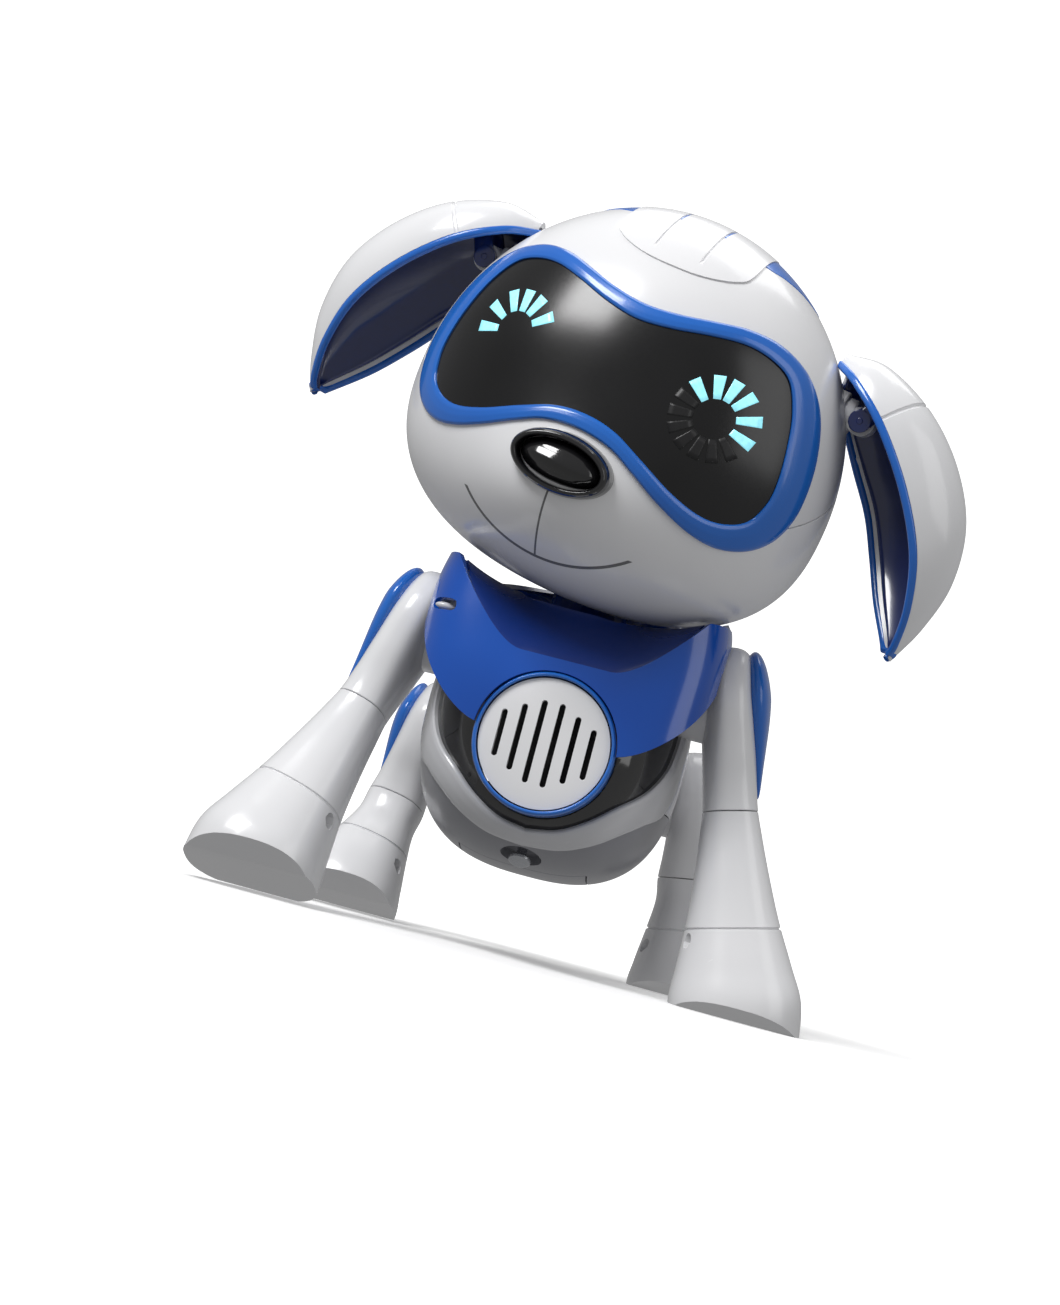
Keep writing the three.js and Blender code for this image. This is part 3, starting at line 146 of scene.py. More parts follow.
class Wire:
    """A value running through a material. It adds, subtracts, multiplies and divides like a number."""

    def __init__(self, tree, socket=None):
        self.tree, self.socket = tree, socket

    def node(self, kind, settings=None, inputs=None, out=0):
        made = self.tree.nodes.new("ShaderNode" + kind)
        for key, value in (settings or {}).items():
            if key == "stops":
                for i, (at, shade) in enumerate(value):
                    stop = made.color_ramp.elements[i] if i < 2 else made.color_ramp.elements.new(at)
                    stop.position, stop.color = at, (shade, shade, shade, 1)
            else:
                setattr(made, key, value)
        for key, value in (inputs or {}).items():
            if isinstance(value, Wire):
                self.tree.links.new(value.socket, made.inputs[key])
            else:
                made.inputs[key].default_value = value
        return Wire(self.tree, made.outputs[out])

    def maths(self, operation, *values):
        return self.node("Math", {"operation": operation}, dict(enumerate(values)))

    def __add__(self, other):
        return self.maths("ADD", self, other)

    def __sub__(self, other):
        return self.maths("SUBTRACT", self, other)

    def __rsub__(self, other):
        return self.maths("SUBTRACT", other, self)

    def __mul__(self, other):
        return self.maths("MULTIPLY", self, other)

    def __truediv__(self, other):
        return self.maths("DIVIDE", self, other)

    __radd__, __rmul__ = __add__, __mul__

    def ramp(self, *stops):
        return self.node("ValToRGB", {"stops": stops}, {"Fac": self})

    def blend(self, dark, light):
        """A colour between two, by how large this value is."""
        return self.node("Mix", {"data_type": "RGBA"}, {0: self, 6: dark, 7: light}, out=2)


def moulded_plastic(name, colour, shade, roughness, ripple=0.02, scuffs=0.1, coat=0.0, line=None, metallic=0.0):
    """Injection-moulded plastic: a slow drift in its colour, the tool's fine polish, faint flow ripple and hairline
    rubbing. `line` is a rule that gives a mask for grooves: the mask sinks them by bump and darkens their colour as
    painted shade."""
    material = bpy.data.materials.new(name)
    material.use_nodes = True
    tree = material.node_tree
    skin = tree.nodes["Principled BSDF"]
    start = Wire(tree)
    at = start.node("TexCoord", out="Object")
    drift = start.node("TexNoise", {}, {"Vector": at, "Scale": 22, "Detail": 2})
    polish = start.node("TexNoise", {}, {"Vector": at, "Scale": 850, "Detail": 3})
    flow = start.node("TexNoise", {}, {"Vector": at, "Scale": 60, "Detail": 1})
    stretched = start.node("Mapping", {}, {"Vector": at, "Rotation": (0.5, 0.3, 0.9), "Scale": (60, 1400, 400)})
    hair = start.node("TexNoise", {}, {"Vector": stretched, "Scale": 1, "Detail": 2}).ramp((0.66, 0), (0.74, 1))
    rubbed = hair * drift.ramp((0.45, 0), (0.7, 1)) * scuffs
    base = drift.ramp((0.3, 0), (0.72, 1)).blend(shade, colour)
    height = polish * 0.15 + flow * ripple * 20 - rubbed * 0.5
    rough = polish * 0.05 + drift * 0.06 + rubbed * 0.35 + (roughness - 0.055)
    if line:
        groove_and_painted_shade = line(start, at)
        # painted shade: inside the grooves the colour drops to 0.18 of the shade tone, standing in for shadow in the
        # groove
        base = groove_and_painted_shade.blend(base, tuple(c * 0.18 for c in shade[:3]) + (1,))
        height = height - groove_and_painted_shade * 14
        rough = rough + groove_and_painted_shade * 0.3
    lift = start.node("Bump", {}, {"Strength": 0.12, "Distance": 0.00035, "Height": height})
    tree.links.new(base.socket, skin.inputs["Base Color"])
    tree.links.new(rough.socket, skin.inputs["Roughness"])
    tree.links.new(lift.socket, skin.inputs["Normal"])
    skin.inputs["Coat Weight"].default_value = coat
    skin.inputs["Coat Roughness"].default_value = 0.06
    skin.inputs["IOR"].default_value = 1.5
    skin.inputs["Metallic"].default_value = metallic
    return material


white_abs = moulded_plastic("white_abs", (0.80, 0.80, 0.815, 1), (0.745, 0.748, 0.765, 1), 0.23, coat=0.25)


def torso_skin(off):
    def rule(x, y, z):
        swell = (abs(x) ** TORSO_POWER + abs(y) ** TORSO_POWER + abs(z) ** TORSO_POWER) ** (-1 / TORSO_POWER)
        return (
            x * swell * (TORSO_HALF_WIDTH + off),
            y * swell * (np.where(y < 0, TORSO_FRONT, TORSO_BACK) + off) + TORSO_Y,
            z * swell * (np.where(z < 0, TORSO_DOWN, TORSO_UP) + off) + TORSO_Z,
        )

    return rule


def neck_way(x, y, z):
    """How far a point is from the leaning way that the neck passes through; below nought is inside it."""
    lean = Vector((0, -24, 50)).normalized()
    run = (y - 8) * lean.y + (z - 80) * lean.z
    return np.sqrt(x**2 + (y - 8 - run * lean.y) ** 2 + (z - 80 - run * lean.z) ** 2) - 27


back = mould(ball(168, 104), torso_skin(0))
trim(back, lambda x, y, z: SEAM_Z + 0.15 - z)
trim(back, lambda x, y, z: BAND_BACK + 0.3 - y)
trim(back, lambda x, y, z: np.where(z > 80, -neck_way(x, y, z), -9.0))
for _, y0, z0 in (FRONT_PIVOT, REAR_PIVOT):
    trim(back, lambda x, y, z: 13.2 - np.hypot(y - y0, z - z0))
trim(back, lambda x, y, z: np.where(y > 50, 4.9 - np.maximum(abs(x) - 2, abs(z - 91) - 3), -9.0))
trim(back, lambda x, y, z: np.where(y > 50, -np.maximum(abs(x) - 5.5, abs(z - 66) - 2.5), -9.0))
piece(back, "back_shell_moulding", "torso", white_abs, ["back_shell"], heart=torso_heart,
    wall=BACK_WALL, edge=0.35)

# ---- Belly shell ----
# The grey lower half of the body, with a 2 mm wall, which carries the cells. A battery door closes it underneath,
# and a sunk cross-head screw at its front edge holds the two halves together.
SCREW_SEAT, SCREW_AXIS = Vector((0, -23.2, 30.2)), Vector((0, -0.45, -0.893))
DOOR_HALF, DOOR_FRONT, DOOR_BACK = 20, -13, 41.5
BAND_LINE = [(0, 32.9), (14, 35.2), (24, 40.3), (33, 48), (39, 53)]
grey_abs = moulded_plastic("grey_abs", (0.30, 0.30, 0.325, 1), (0.235, 0.238, 0.262, 1), 0.3, coat=0.15)


def sink(bm, start, direction, radius, depth, near):
    """Sinks a round recess: opens the skin inside a circle about a line, then carries its rim down to a floor."""
    start, direction = Vector(start), Vector(direction).normalized()

    def within(x, y, z):
        px, py, pz = x - start.x, y - start.y, z - start.z
        run = px * direction.x + py * direction.y + pz * direction.z
        aside = np.sqrt(np.maximum(px**2 + py**2 + pz**2 - run**2, 0))
        return np.where(abs(run) < near, radius - aside, -9.0)

    before = {e for e in bm.edges if e.is_boundary}
    trim(bm, within)
    rim = [e for e in bm.edges if e.is_boundary and e not in before]
    rim = [e for e in rim if all(abs(within(*[np.array([c]) for c in v.co])[0]) < radius * 0.2 for v in e.verts)]
    wall = bmesh.ops.extrude_edge_only(bm, edges=rim)["geom"]
    bmesh.ops.translate(bm, verts=[g for g in wall if isinstance(g, bmesh.types.BMVert)], vec=direction * depth)
    bmesh.ops.edgeloop_fill(bm, edges=[g for g in wall if isinstance(g, bmesh.types.BMEdge)])
    return bm


band_under = lambda x: np.interp(abs(x), [p[0] for p in BAND_LINE], [p[1] for p in BAND_LINE])
belly = mould(ball(168, 104), torso_skin(0))
trim(belly, lambda x, y, z: z - SEAM_Z + 0.15)
trim(belly, lambda x, y, z: np.where(y < BAND_BACK, z - band_under(x) - 1.2, -9.0))
trim(belly, lambda x, y, z: np.where(z < 40, -np.maximum(abs(x) - DOOR_HALF, np.maximum(DOOR_FRONT - y, y - DOOR_BACK)),
    -9.0))
for _, y0, z0 in (FRONT_PIVOT, REAR_PIVOT):
    trim(belly, lambda x, y, z: 12.8 - np.hypot(y - y0, z - z0))
sink(belly, SCREW_SEAT, -SCREW_AXIS, 6.3, 3.2, 14)
piece(belly, "belly_moulding", "torso", grey_abs, ["belly_shell"], heart=torso_heart, wall=WALL,
    edge=0.35)

door = mould(sheet(40, 52), lambda u, v, z: (2 * (u - 0.5) * (DOOR_HALF - 0.3),
    DOOR_FRONT + 0.3 + v * (DOOR_BACK - DOOR_FRONT - 0.6), z))


def under_torso(x, y, z, off=0):
    share = abs(x / (TORSO_HALF_WIDTH + off)) ** TORSO_POWER
    share += abs((y - TORSO_Y) / (np.where(y < TORSO_Y, TORSO_FRONT, TORSO_BACK) + off)) ** TORSO_POWER
    ribs = np.where((abs(x) < 9) & (y > 33) & (y < 38), 0.5 * (1 + np.cos((y - 35.5) * 2 * pi / 1.6)) * 0.35, 0)
    return x, y, TORSO_Z - (TORSO_DOWN + off) * (1 - share) ** (1 / TORSO_POWER) + ribs


piece(mould(door, under_torso), "battery_door", "torso", grey_abs, ["battery_cover"],
    heart=torso_heart, wall=WALL, edge=0.3)

bright_steel = moulded_plastic("bright_steel", (0.62, 0.63, 0.65, 1), (0.42, 0.43, 0.46, 1), 0.28, scuffs=0.5, metallic=1.0)
turn_to_screw = Matrix.Translation(SCREW_SEAT) @ Vector((0, 0, 1)).rotation_difference(SCREW_AXIS).to_matrix().to_4x4()
screw = sheet(48, 16)
SCREW_PROFILE = [(0, 3.1), (1.6, 3.1), (2.6, 2.9), (3.3, 2.3), (3.4, 1.6), (2.0, 1.5), (1.5, 1.4), (1.5, -8), (0, -8.6)]
mould(screw, lambda u, v, z: (
    np.interp(v * 8, range(9), [p[0] for p in SCREW_PROFILE]) * np.cos(2 * pi * u),
    np.interp(v * 8, range(9), [p[0] for p in SCREW_PROFILE]) * np.sin(2 * pi * u),
    np.interp(v * 8, range(9), [p[1] for p in SCREW_PROFILE]),
))
screw.transform(turn_to_screw)
piece(screw, "battery_screw_turned", "torso", bright_steel, ["battery_screw"])

# ---- Chest panel and harness band ----
# The chest panel is smoked, polished polycarbonate set just under the skin. The light grey harness band runs round
# it in one rolled-edge strip that dips to a shallow V under the speaker.
PANEL_WALL, PANEL_TOP = WALL - 0.9, 88
CHEST_LINE = [(0, 37.2), (9, 39), (17, 43.5), (24, 49.5), (31, 56), (35.5, 64), (37, 72), (37, 104)]
smoked = moulded_plastic("smoked_polycarbonate", (0.030, 0.029, 0.028, 1), (0.008, 0.008, 0.009, 1), 0.09, ripple=0.05,
    coat=0.8)
silver_abs = moulded_plastic("silver_abs", (0.62, 0.62, 0.64, 1), (0.54, 0.545, 0.565, 1), 0.26, coat=0.3)


def on_torso(x, y, z, off=0):
    """The point of the torso's skin that lies in the same direction from its middle."""
    x, y, z = np.broadcast_arrays(x, y - TORSO_Y, z - TORSO_Z)
    reach = abs(x / (TORSO_HALF_WIDTH + off)) ** TORSO_POWER
    reach = reach + abs(y / (np.where(y < 0, TORSO_FRONT, TORSO_BACK) + off)) ** TORSO_POWER
    reach = (reach + abs(z / (np.where(z < 0, TORSO_DOWN, TORSO_UP) + off)) ** TORSO_POWER) ** (-1 / TORSO_POWER)
    return x * reach, y * reach + TORSO_Y, z * reach + TORSO_Z


def front_of_torso(x, z, off=0):
    share = abs(x / (TORSO_HALF_WIDTH + off)) ** TORSO_POWER
    share = share + abs((z - TORSO_Z) / (np.where(z < TORSO_Z, TORSO_DOWN, TORSO_UP) + off)) ** TORSO_POWER
    return TORSO_Y - (TORSO_FRONT + off) * np.maximum(1 - share, 1e-4) ** (1 / TORSO_POWER)


chest_x = lambda z: np.interp(z, [p[1] for p in CHEST_LINE], [p[0] for p in CHEST_LINE])
chest = sheet(72, 60)
mould(chest, lambda u, v, z: (2 * (u - 0.5) * (chest_x(36.5 + 63 * v) + 0.9), 0, 36.5 + 63 * v))
mould(chest, lambda x, y, z: (x, front_of_torso(x, z, -0.8), z))
trim(chest, lambda x, y, z: 20.6 - np.hypot(x, z - 61.5))
trim(chest, lambda x, y, z: z - PANEL_TOP)
piece(chest, "chest_window", "torso", smoked, ["chest_panel"], heart=torso_heart, wall=PANEL_WALL)


def smooth_line(at, points):
    """A smooth line through points, `at` running from 0 at the first to 1 at the last."""
    points = np.array(points, float)
    at = np.clip(np.asarray(at, float), 0, 1) * (len(points) - 1)
    i = np.minimum(at.astype(int), len(points) - 2)
    t = (at - i)[..., None]
    slope = np.gradient(points, axis=0)
    a, b, ma, mb = points[i], points[i + 1], slope[i], slope[i + 1]
    return (2 * t**3 - 3 * t**2 + 1) * a + (t**3 - 2 * t**2 + t) * ma + (3 * t**2 - 2 * t**3) * b + (t**3 - t**2) * mb


INNER_EDGE = [(0, 37.2), (9, 39), (17, 43.5), (24, 49.5), (31, 56), (35.3, 64), (36.6, 72), (36.8, 82), (36.8, 92),
    (36.8, 99)]
OUTER_EDGE = [(0, 32.9), (11, 34.2), (20, 38), (27, 43), (32.5, 47.6), (37, 52), (40, 62), (40.4, 72), (40.2, 86),
    (39.6, 99)]
BAND_SECTION = [(0, -1.6), (0.0, 0.3), (0.05, 0.75), (0.15, 1.0), (0.5, 1.15), (0.85, 1.0), (0.95, 0.75), (1, 0.3),
    (1, -1.6)]


def harness(u, v, z):
    side = np.where(u < 0.5, -1, 1)
    run = abs(u - 0.5) * 2
    inner, outer = smooth_line(run, INNER_EDGE), smooth_line(run, OUTER_EDGE)
    share = np.interp(v * 8, range(9), [p[0] for p in BAND_SECTION])
    lift = np.interp(v * 8, range(9), [p[1] for p in BAND_SECTION])
    x = inner[:, 0] * (1 - share) + outer[:, 0] * share
    zz = inner[:, 1] * (1 - share) + outer[:, 1] * share
    y = np.minimum(front_of_torso(x, zz), BAND_BACK)
    x0, y0, z0 = on_torso(x, y, zz)
    x1, y1, z1 = on_torso(x, y, zz, 1.0)
    return side * (x0 + (x1 - x0) * lift), y0 + (y1 - y0) * lift, z0 + (z1 - z0) * lift


band = mould(sheet(240, 32), harness)
piece(band, "harness_band_moulding", "torso", silver_abs, ["harness_band"], sharp=50)

# ---- Speaker ----
# A blue ring pressed into the chest holds a white grille with six upright slots. The paper cone behind it is dark.
SPEAKER_Z, FACE_Y, GRILLE_RADIUS = 61.5, -52.5, 18.8
SLOT_PITCH, SLOT_HALF_WIDTH = 5.2, 0.85
SLOT_LENGTHS = (13.7, 19.3, 24.1, 24.4, 19.5, 14.5)
blue_abs = moulded_plastic("blue_abs", (0.016, 0.15, 0.58, 1), (0.011, 0.12, 0.50, 1), 0.22, coat=0.35)
RING_SECTION = [(20.5, 10), (20.5, 0.4), (20.3, -0.2), (19.9, -0.7), (19.5, -0.7), (19.2, -0.3), (19.2, 0.4), (19.2, 10)]
ring = mould(sheet(120, 28), lambda u, v, z: (
    np.interp(v * 7, range(8), [p[0] for p in RING_SECTION]) * np.cos(2 * pi * u),
    FACE_Y + np.interp(v * 7, range(8), [p[1] for p in RING_SECTION]),
    SPEAKER_Z + np.interp(v * 7, range(8), [p[0] for p in RING_SECTION]) * np.sin(2 * pi * u),
))
piece(ring, "speaker_ring_moulding", "torso", blue_abs, ["speaker_ring"], sharp=60)

grille = bmesh.new()
bmesh.ops.create_grid(grille, x_segments=120, y_segments=120, size=GRILLE_RADIUS + 0.4)
grille.transform(Matrix.Translation((0, FACE_Y, SPEAKER_Z)) @ Matrix.Rotation(pi / 2, 4, "X"))
trim(grille, lambda x, y, z: np.hypot(x, z - SPEAKER_Z) - GRILLE_RADIUS)
for i, length in enumerate(SLOT_LENGTHS):
    slot_x = (i - 2.5) * SLOT_PITCH
    trim(grille, lambda x, y, z: SLOT_HALF_WIDTH - np.hypot(x - slot_x,
        np.maximum(abs(z - SPEAKER_Z) - length / 2 + SLOT_HALF_WIDTH, 0)))
mould(grille, lambda x, y, z: (x, y + 0.8 * (np.hypot(x, z - SPEAKER_Z) / GRILLE_RADIUS) ** 4 - 0.15, z))
piece(grille, "speaker_grille_moulding", "torso", white_abs, ["speaker_grille"],
    heart=(0, 0, SPEAKER_Z), wall=2, edge=0.2, segments=2)

# ---- Bib and neck ring ----
# The deep blue bib is one flared collar moulding that stands up to the head, cut round the speaker and the front
# legs; a small peg sits in a slot on its right side. Inside it lies a concave ring that the head turns over, its darker
# blue painted shade from the head.
BIB_RIM, BIB_HEM, BIB_BULGE, BIB_Y, BIB_WALL = (42.4, 45), (45.4, 47), 0.8, -7, 1.8
SHOULDER_ROOM = 18.6
deep_blue = moulded_plastic("deep_blue_abs", (0.005, 0.082, 0.45, 1), (0.003, 0.060, 0.36, 1), 0.2, ripple=0.03, coat=0.4)
# painted shade: the neck ring's darker blue stands in for the shadow the head casts into the collar
ring_blue_painted_shade = moulded_plastic("ring_blue_abs_painted_shade", (0.003, 0.030, 0.21, 1), (0.002, 0.020, 0.15, 1), 0.22, coat=0.3)
ease = lambda t: np.clip(t, 0, 1) ** 2 * (3 - 2 * np.clip(t, 0, 1))
rim_z = lambda around: 86 + 28.5 * ease((abs(around) - radians(17)) / radians(43))
hem_z = lambda around: 62.5 + 38 * ease((abs(around) - radians(22)) / radians(54))
head_centre = Vector(joints["head_tilt"]["pos_m"])
head_back = Vector(joints["head_tilt"]["axis"]).normalized()
head_left = (Vector(joints["left_ear_swing"]["pos_m"]) - Vector(joints["right_ear_swing"]["pos_m"])).normalized()
head_up = head_left.cross(head_back).normalized()
head_turn = Matrix((head_left, head_back, head_up)).transposed()
head_place = Matrix.Translation(head_centre) @ head_turn.to_4x4() @ Matrix.Scale(0.001, 4)
HEAD_HALF_WIDTH, HEAD_FRONT, HEAD_BACK, HEAD_UP, HEAD_DOWN, HEAD_WIDEST_Z = 65.7, 56, 54, 70.2, 48, -10.6


def clear_of_head(tilt):
    """Above nought where a point lies inside the head, or within 1.5 mm of it, with the head cocked sideways by `tilt`."""
    turned = (Matrix.Translation(head_centre) @ Matrix.Rotation(radians(tilt), 4,
        head_back) @ Matrix.Translation(-head_centre) @ head_place).inverted()
    turned = np.array(turned)

    def rule(x, y, z):
        hx, hy, hz = (turned[i, 0] * x / 1000 + turned[i, 1] * y / 1000 + turned[i, 2] * z / 1000
            + turned[i, 3] for i in range(3))
        level = np.hypot(hx / (HEAD_HALF_WIDTH + 1.5), hy / (np.where(hy < 0, HEAD_FRONT + 4, HEAD_BACK) + 1.5))
        sunk = np.minimum((hz - HEAD_WIDEST_Z) / (HEAD_DOWN + 1.5), 0)
        return np.where(hz < 10, 50 * (1 - (level**2.5 + abs(sunk) ** 2.5) ** 0.4), -9.0)

    return rule


def bib_shape(u, v, z):
    around = (u - 0.5) * 2 * pi
    squarer = (abs(np.cos(around)) ** 4.5 + abs(np.sin(around)) ** 4.5) ** (-1 / 4.5)
    grow = BIB_BULGE * np.sin(pi * v)
    wide = (BIB_RIM[0] + (BIB_HEM[0] - BIB_RIM[0]) * v + grow) * squarer
    deep = (BIB_RIM[1] + (BIB_HEM[1] - BIB_RIM[1]) * v + grow) * squarer
    height = rim_z(around) + (hem_z(around) - rim_z(around)) * v
    return wide * np.sin(around), BIB_Y - deep * np.cos(around), height


bib = mould(sheet(224, 48), bib_shape)
bmesh.ops.remove_doubles(bib, verts=bib.verts, dist=1e-3)
trim(bib, lambda x, y, z: np.where(abs(x) > 34, SHOULDER_ROOM - np.hypot(y + 19, z - 88), -9.0))
trim(bib, lambda x, y, z: np.where(y < -20, 20.8 - np.hypot(x, z - SPEAKER_Z), -9.0))
trim(bib, lambda x, y, z: np.where((x < -20) & (y < -28), 1.8 - np.hypot(np.maximum(abs(x + 38.5) - 2, 0), z - 94), -9.0))
for tilt in (-22, -15, -8, 0, 2):
    trim(bib, clear_of_head(tilt))
piece(bib, "bib_moulding", "torso", deep_blue, ["bib"], heart=(0, BIB_Y, 80), wall=BIB_WALL, edge=0.5,
    even=False)
peg = mould(ball(24, 14), lambda x, y, z: (x * 3.2 - 38.2, y * 1.2 - 44.4, z * 1.1 + 93.6))
piece(peg, "bib_peg", "torso", silver_abs)

COLLAR_TOP, COLLAR_TOP_Z, COLLAR_RISE = 29, 102.5, 6.75


def collar_shape(u, v, z):
    around = (u - 0.5) * 2 * pi
    share = ease(v * 1.1)
    power = 2 + 2.5 * share
    squarer = (abs(np.cos(around)) ** power + abs(np.sin(around)) ** power) ** (-1 / power)
    wide = (COLLAR_TOP + (BIB_RIM[0] - BIB_WALL - 1 - COLLAR_TOP) * share) * squarer
    deep = (COLLAR_TOP + (BIB_RIM[1] - BIB_WALL - 1 - COLLAR_TOP) * share) * squarer
    top = COLLAR_TOP_Z + COLLAR_RISE * (1 - np.cos(around))
    height = top + (rim_z(around) - 4 - top) * v
    return wide * np.sin(around), BIB_Y - deep * np.cos(around), height


collar = mould(sheet(160, 24), collar_shape)
bmesh.ops.remove_doubles(collar, verts=collar.verts, dist=1e-3)
trim(collar, lambda x, y, z: np.where(abs(x) > 36, SHOULDER_ROOM - np.hypot(y + 19, z - 88), -9.0))
for tilt in (-22, -15, -8, 0, 2):
    trim(collar, clear_of_head(tilt))
piece(collar, "neck_ring_moulding", "torso", ring_blue_painted_shade, ["neck_collar"], heart=(0, BIB_Y, 100),
    wall=1.6, edge=0.4, even=False)

# ---- Legs ----
# Each leg is an upper moulding that turns on a hub in the torso's side and a hollow flared boot clipped to it at
# the knee line. The boot has a scored ring, a flat sole with a bevelled toe, and a screw hole inside.
RIGHT_STEP = 16
FRONT_SPLAY, REAR_SPLAY = 15, 9.5
FRONT_LEG = [
    (-18.4, 0, 0, 0), (-18, 3.5, 4, 0), (-16.6, 6, 7.5, 0), (-11, 7.6, 14, 0), (0, 8, 17.5, 0), (13, 8, 15, 0),
        (24, 8, 11.5, -1),
    (31, 8.2, 10.2, -2), (37, 9, 10.8, -2.5), (50, 11, 12.8, -4), (64, 13.7, 15.4, -5.2), (76, 16.8, 18.4, -6),
        (86, 19.2, 20.8, -6.5),
    (96, 18.4, 20, -6.5), (104, 17, 19, -6.5),
]
REAR_LEG = [
    (-18.4, 0, 0, 0), (-18, 3.5, 6, 0), (-16.5, 6, 11, 0), (-11, 7.4, 17, 0), (0, 8, 20, 0), (10, 8.4, 17, 2),
        (18, 9.2, 13, 4),
    (24, 10, 11.5, 5), (31, 10, 11.5, 4.5), (41, 12.4, 14, 2), (52, 15.6, 17.6, 0), (59, 17.4, 19.6, 0),
        (68, 16.8, 19, 0), (76, 16, 18, 0),
]


def leg_tube(table, splay, first, last, scored=()):
    """A leg's skin between two distances down its slanting axis, about the pivot, with grooves scored round it."""
    table = np.array(table, float)
    knots = np.sqrt(table[:, 0] + 18.4)
    ends = np.sqrt(max(first, -18.4) + 18.4), np.sqrt(last + 18.4)
    marks = []
    for at in scored:
        marks += [(np.sqrt(at + d + 18.4) - ends[0]) / (ends[1] - ends[0]) for d in (-0.45, -0.15, 0.15, 0.45)]

    def rule(u, v, z):
        q = ends[0] + (ends[1] - ends[0]) * v
        t = q**2 - 18.4
        k = np.clip(np.searchsorted(knots, q, side="right") - 1, 0, len(knots) - 2)
        h = (knots[k + 1] - knots[k])[:, None]
        s = ((q - knots[k]) / h[:, 0])[:, None]
        sizes = table[:, 1:]
        slope = np.gradient(sizes, knots, axis=0)
        mixed = (2 * s**3 - 3 * s**2 + 1) * sizes[k] + (s**3 - 2 * s**2 + s) * h * slope[k]
        mixed = mixed + (3 * s**2 - 2 * s**3) * sizes[k + 1] + (s**3 - s**2) * h * slope[k + 1]
        half, along, back_by = mixed.T
        for at in scored:
            dip = 0.55 * (abs(t - at) < 0.3)
            half, along = half - dip, along - dip
        c, n = np.cos(2 * pi * u), np.sin(2 * pi * u)
        plump = (abs(c) ** 2.5 + abs(n) ** 2.5) ** (-1 / 2.5)
        x = np.maximum(half, 0) * c * plump
        return x * cos(radians(splay)) + t * sin(radians(splay)), np.maximum(along,
            0) * n * plump + back_by, x * sin(radians(splay)) - t * cos(radians(splay))

    bm = mould(sheet(88, 44, down=marks), rule)
    bmesh.ops.remove_doubles(bm, verts=bm.verts, dist=1e-3)
    return bm


def slice_off(bm, point, outward):
    """Cuts everything beyond a plane away and closes the cut with a flat face."""
    made = bmesh.ops.bisect_plane(bm, geom=[*bm.verts, *bm.edges, *bm.faces], dist=1e-5, plane_co=point,
        plane_no=outward, clear_outer=True)
    rim = [g for g in made["geom_cut"] if isinstance(g, bmesh.types.BMEdge)]
    bmesh.ops.edgeloop_fill(bm, edges=rim)


def close_ends(bm):
    bmesh.ops.edgeloop_fill(bm, edges=[e for e in bm.edges if e.is_boundary])


for side, hand in ((1, "left"), (-1, "right")):
    for kind, table, splay, knee, pivot in (("front", FRONT_LEG, FRONT_SPLAY, 31, FRONT_PIVOT),
        ("rear", REAR_LEG, REAR_SPLAY, 24, REAR_PIVOT)):
        leg = f"{hand}_{kind}"
        centre = Vector(joints[f"{leg}_leg_swing"]["pos_m"])
        swing = Matrix.Rotation(radians(0 if side > 0 else -RIGHT_STEP), 4, "X")
        leg_place = Matrix.Translation(centre) @ swing @ Matrix.Diagonal((0.001 * side, 0.001, 0.001, 1))
        front = kind == "front"

        thigh = leg_tube(table, splay, -18.4, knee - 0.15)
        close_ends(thigh)
        hub_inner, hub_outer = (30 if front else 28) - pivot[0], -4
        bmesh.ops.create_cone(thigh, cap_ends=True, segments=48, radius1=12, radius2=12, depth=hub_outer - hub_inner,
                              matrix=Matrix.Translation(((hub_inner + hub_outer) / 2, 0, 0)) @ Matrix.Rotation(pi / 2,
                                  4, "Y"))
        piece(thigh, f"{leg}_thigh_moulding", f"{leg}_leg", white_abs, [f"{leg}_upper_leg"],
            place=leg_place, edge=0.35)

        boot = leg_tube(table, splay, knee + 0.15, table[-1][0], scored=(65,) if front else (41,))
        close_ends(boot)
        floor_z, toe_y = -pivot[2], -(27 if front else 18.5) + 9
        heel_y = (pivot[2] * (1 - cos(radians(RIGHT_STEP))) - 0.35) / sin(radians(RIGHT_STEP))
        slice_off(boot, (0, 0, floor_z), (0, 0, -1))
        slice_off(boot, (0, toe_y, floor_z), (0, -sin(radians(22)), -cos(radians(22))))
        slice_off(boot, (0, heel_y, floor_z), (0, sin(radians(RIGHT_STEP + 1)), -cos(radians(RIGHT_STEP + 1))))
        hole_t, hole_y = (70, -14) if front else (47, -8)
        hole_x, hole_z = hole_t * sin(radians(splay)), -hole_t * cos(radians(splay)) - 2
        sink(boot, (hole_x - 14, hole_y, hole_z), (1, 0, 0), 2.4, 5, 10)
        piece(boot, f"{leg}_boot_moulding", f"{leg}_leg", white_abs, [f"{leg}_boot"], place=leg_place,
            edge=0.6, sharp=30)

        across, along, up, tail, back_by = (4.6, 14.6, 17, 27, 0) if front else (4.2, 15, 17, 20.5, 3)

        def teardrop(x, y, z):
            down = ease((0.2 - z) / 1.2)
            x, y, z = x * across * (1 - 0.55 * down), y * along * (1
                - 0.62 * down) + back_by * down, z * np.where(z > 0, up, tail)
            x = x + 8.2
            return x * cos(radians(splay)) - z * sin(radians(splay)), y, x * sin(radians(splay)) + z * cos(radians(splay))

        cover = mould(ball(56, 36), teardrop)
        piece(cover, f"{leg}_cover_moulding", f"{leg}_leg", blue_abs, [f"{leg}_leg_cover"], place=leg_place)

# ---- Head shells ----
# The head is two white shells joined along a sloping seam behind the visor; the smile and the line under the nose
# are scored in the jaw's material as bumped grooves darkened with painted shade. The jaw is open at the throat, where
# the neck post enters.
MUZZLE_REACH, MUZZLE_WIDTH, MUZZLE_HEIGHT, MUZZLE_Z = 9, 27, 20, -30
head_heart = (0, 0, 0)


def muzzle(x, z, forward):
    return MUZZLE_REACH * forward * np.exp(-((x / MUZZLE_WIDTH) ** 2) - ((z - MUZZLE_Z) / MUZZLE_HEIGHT) ** 2)


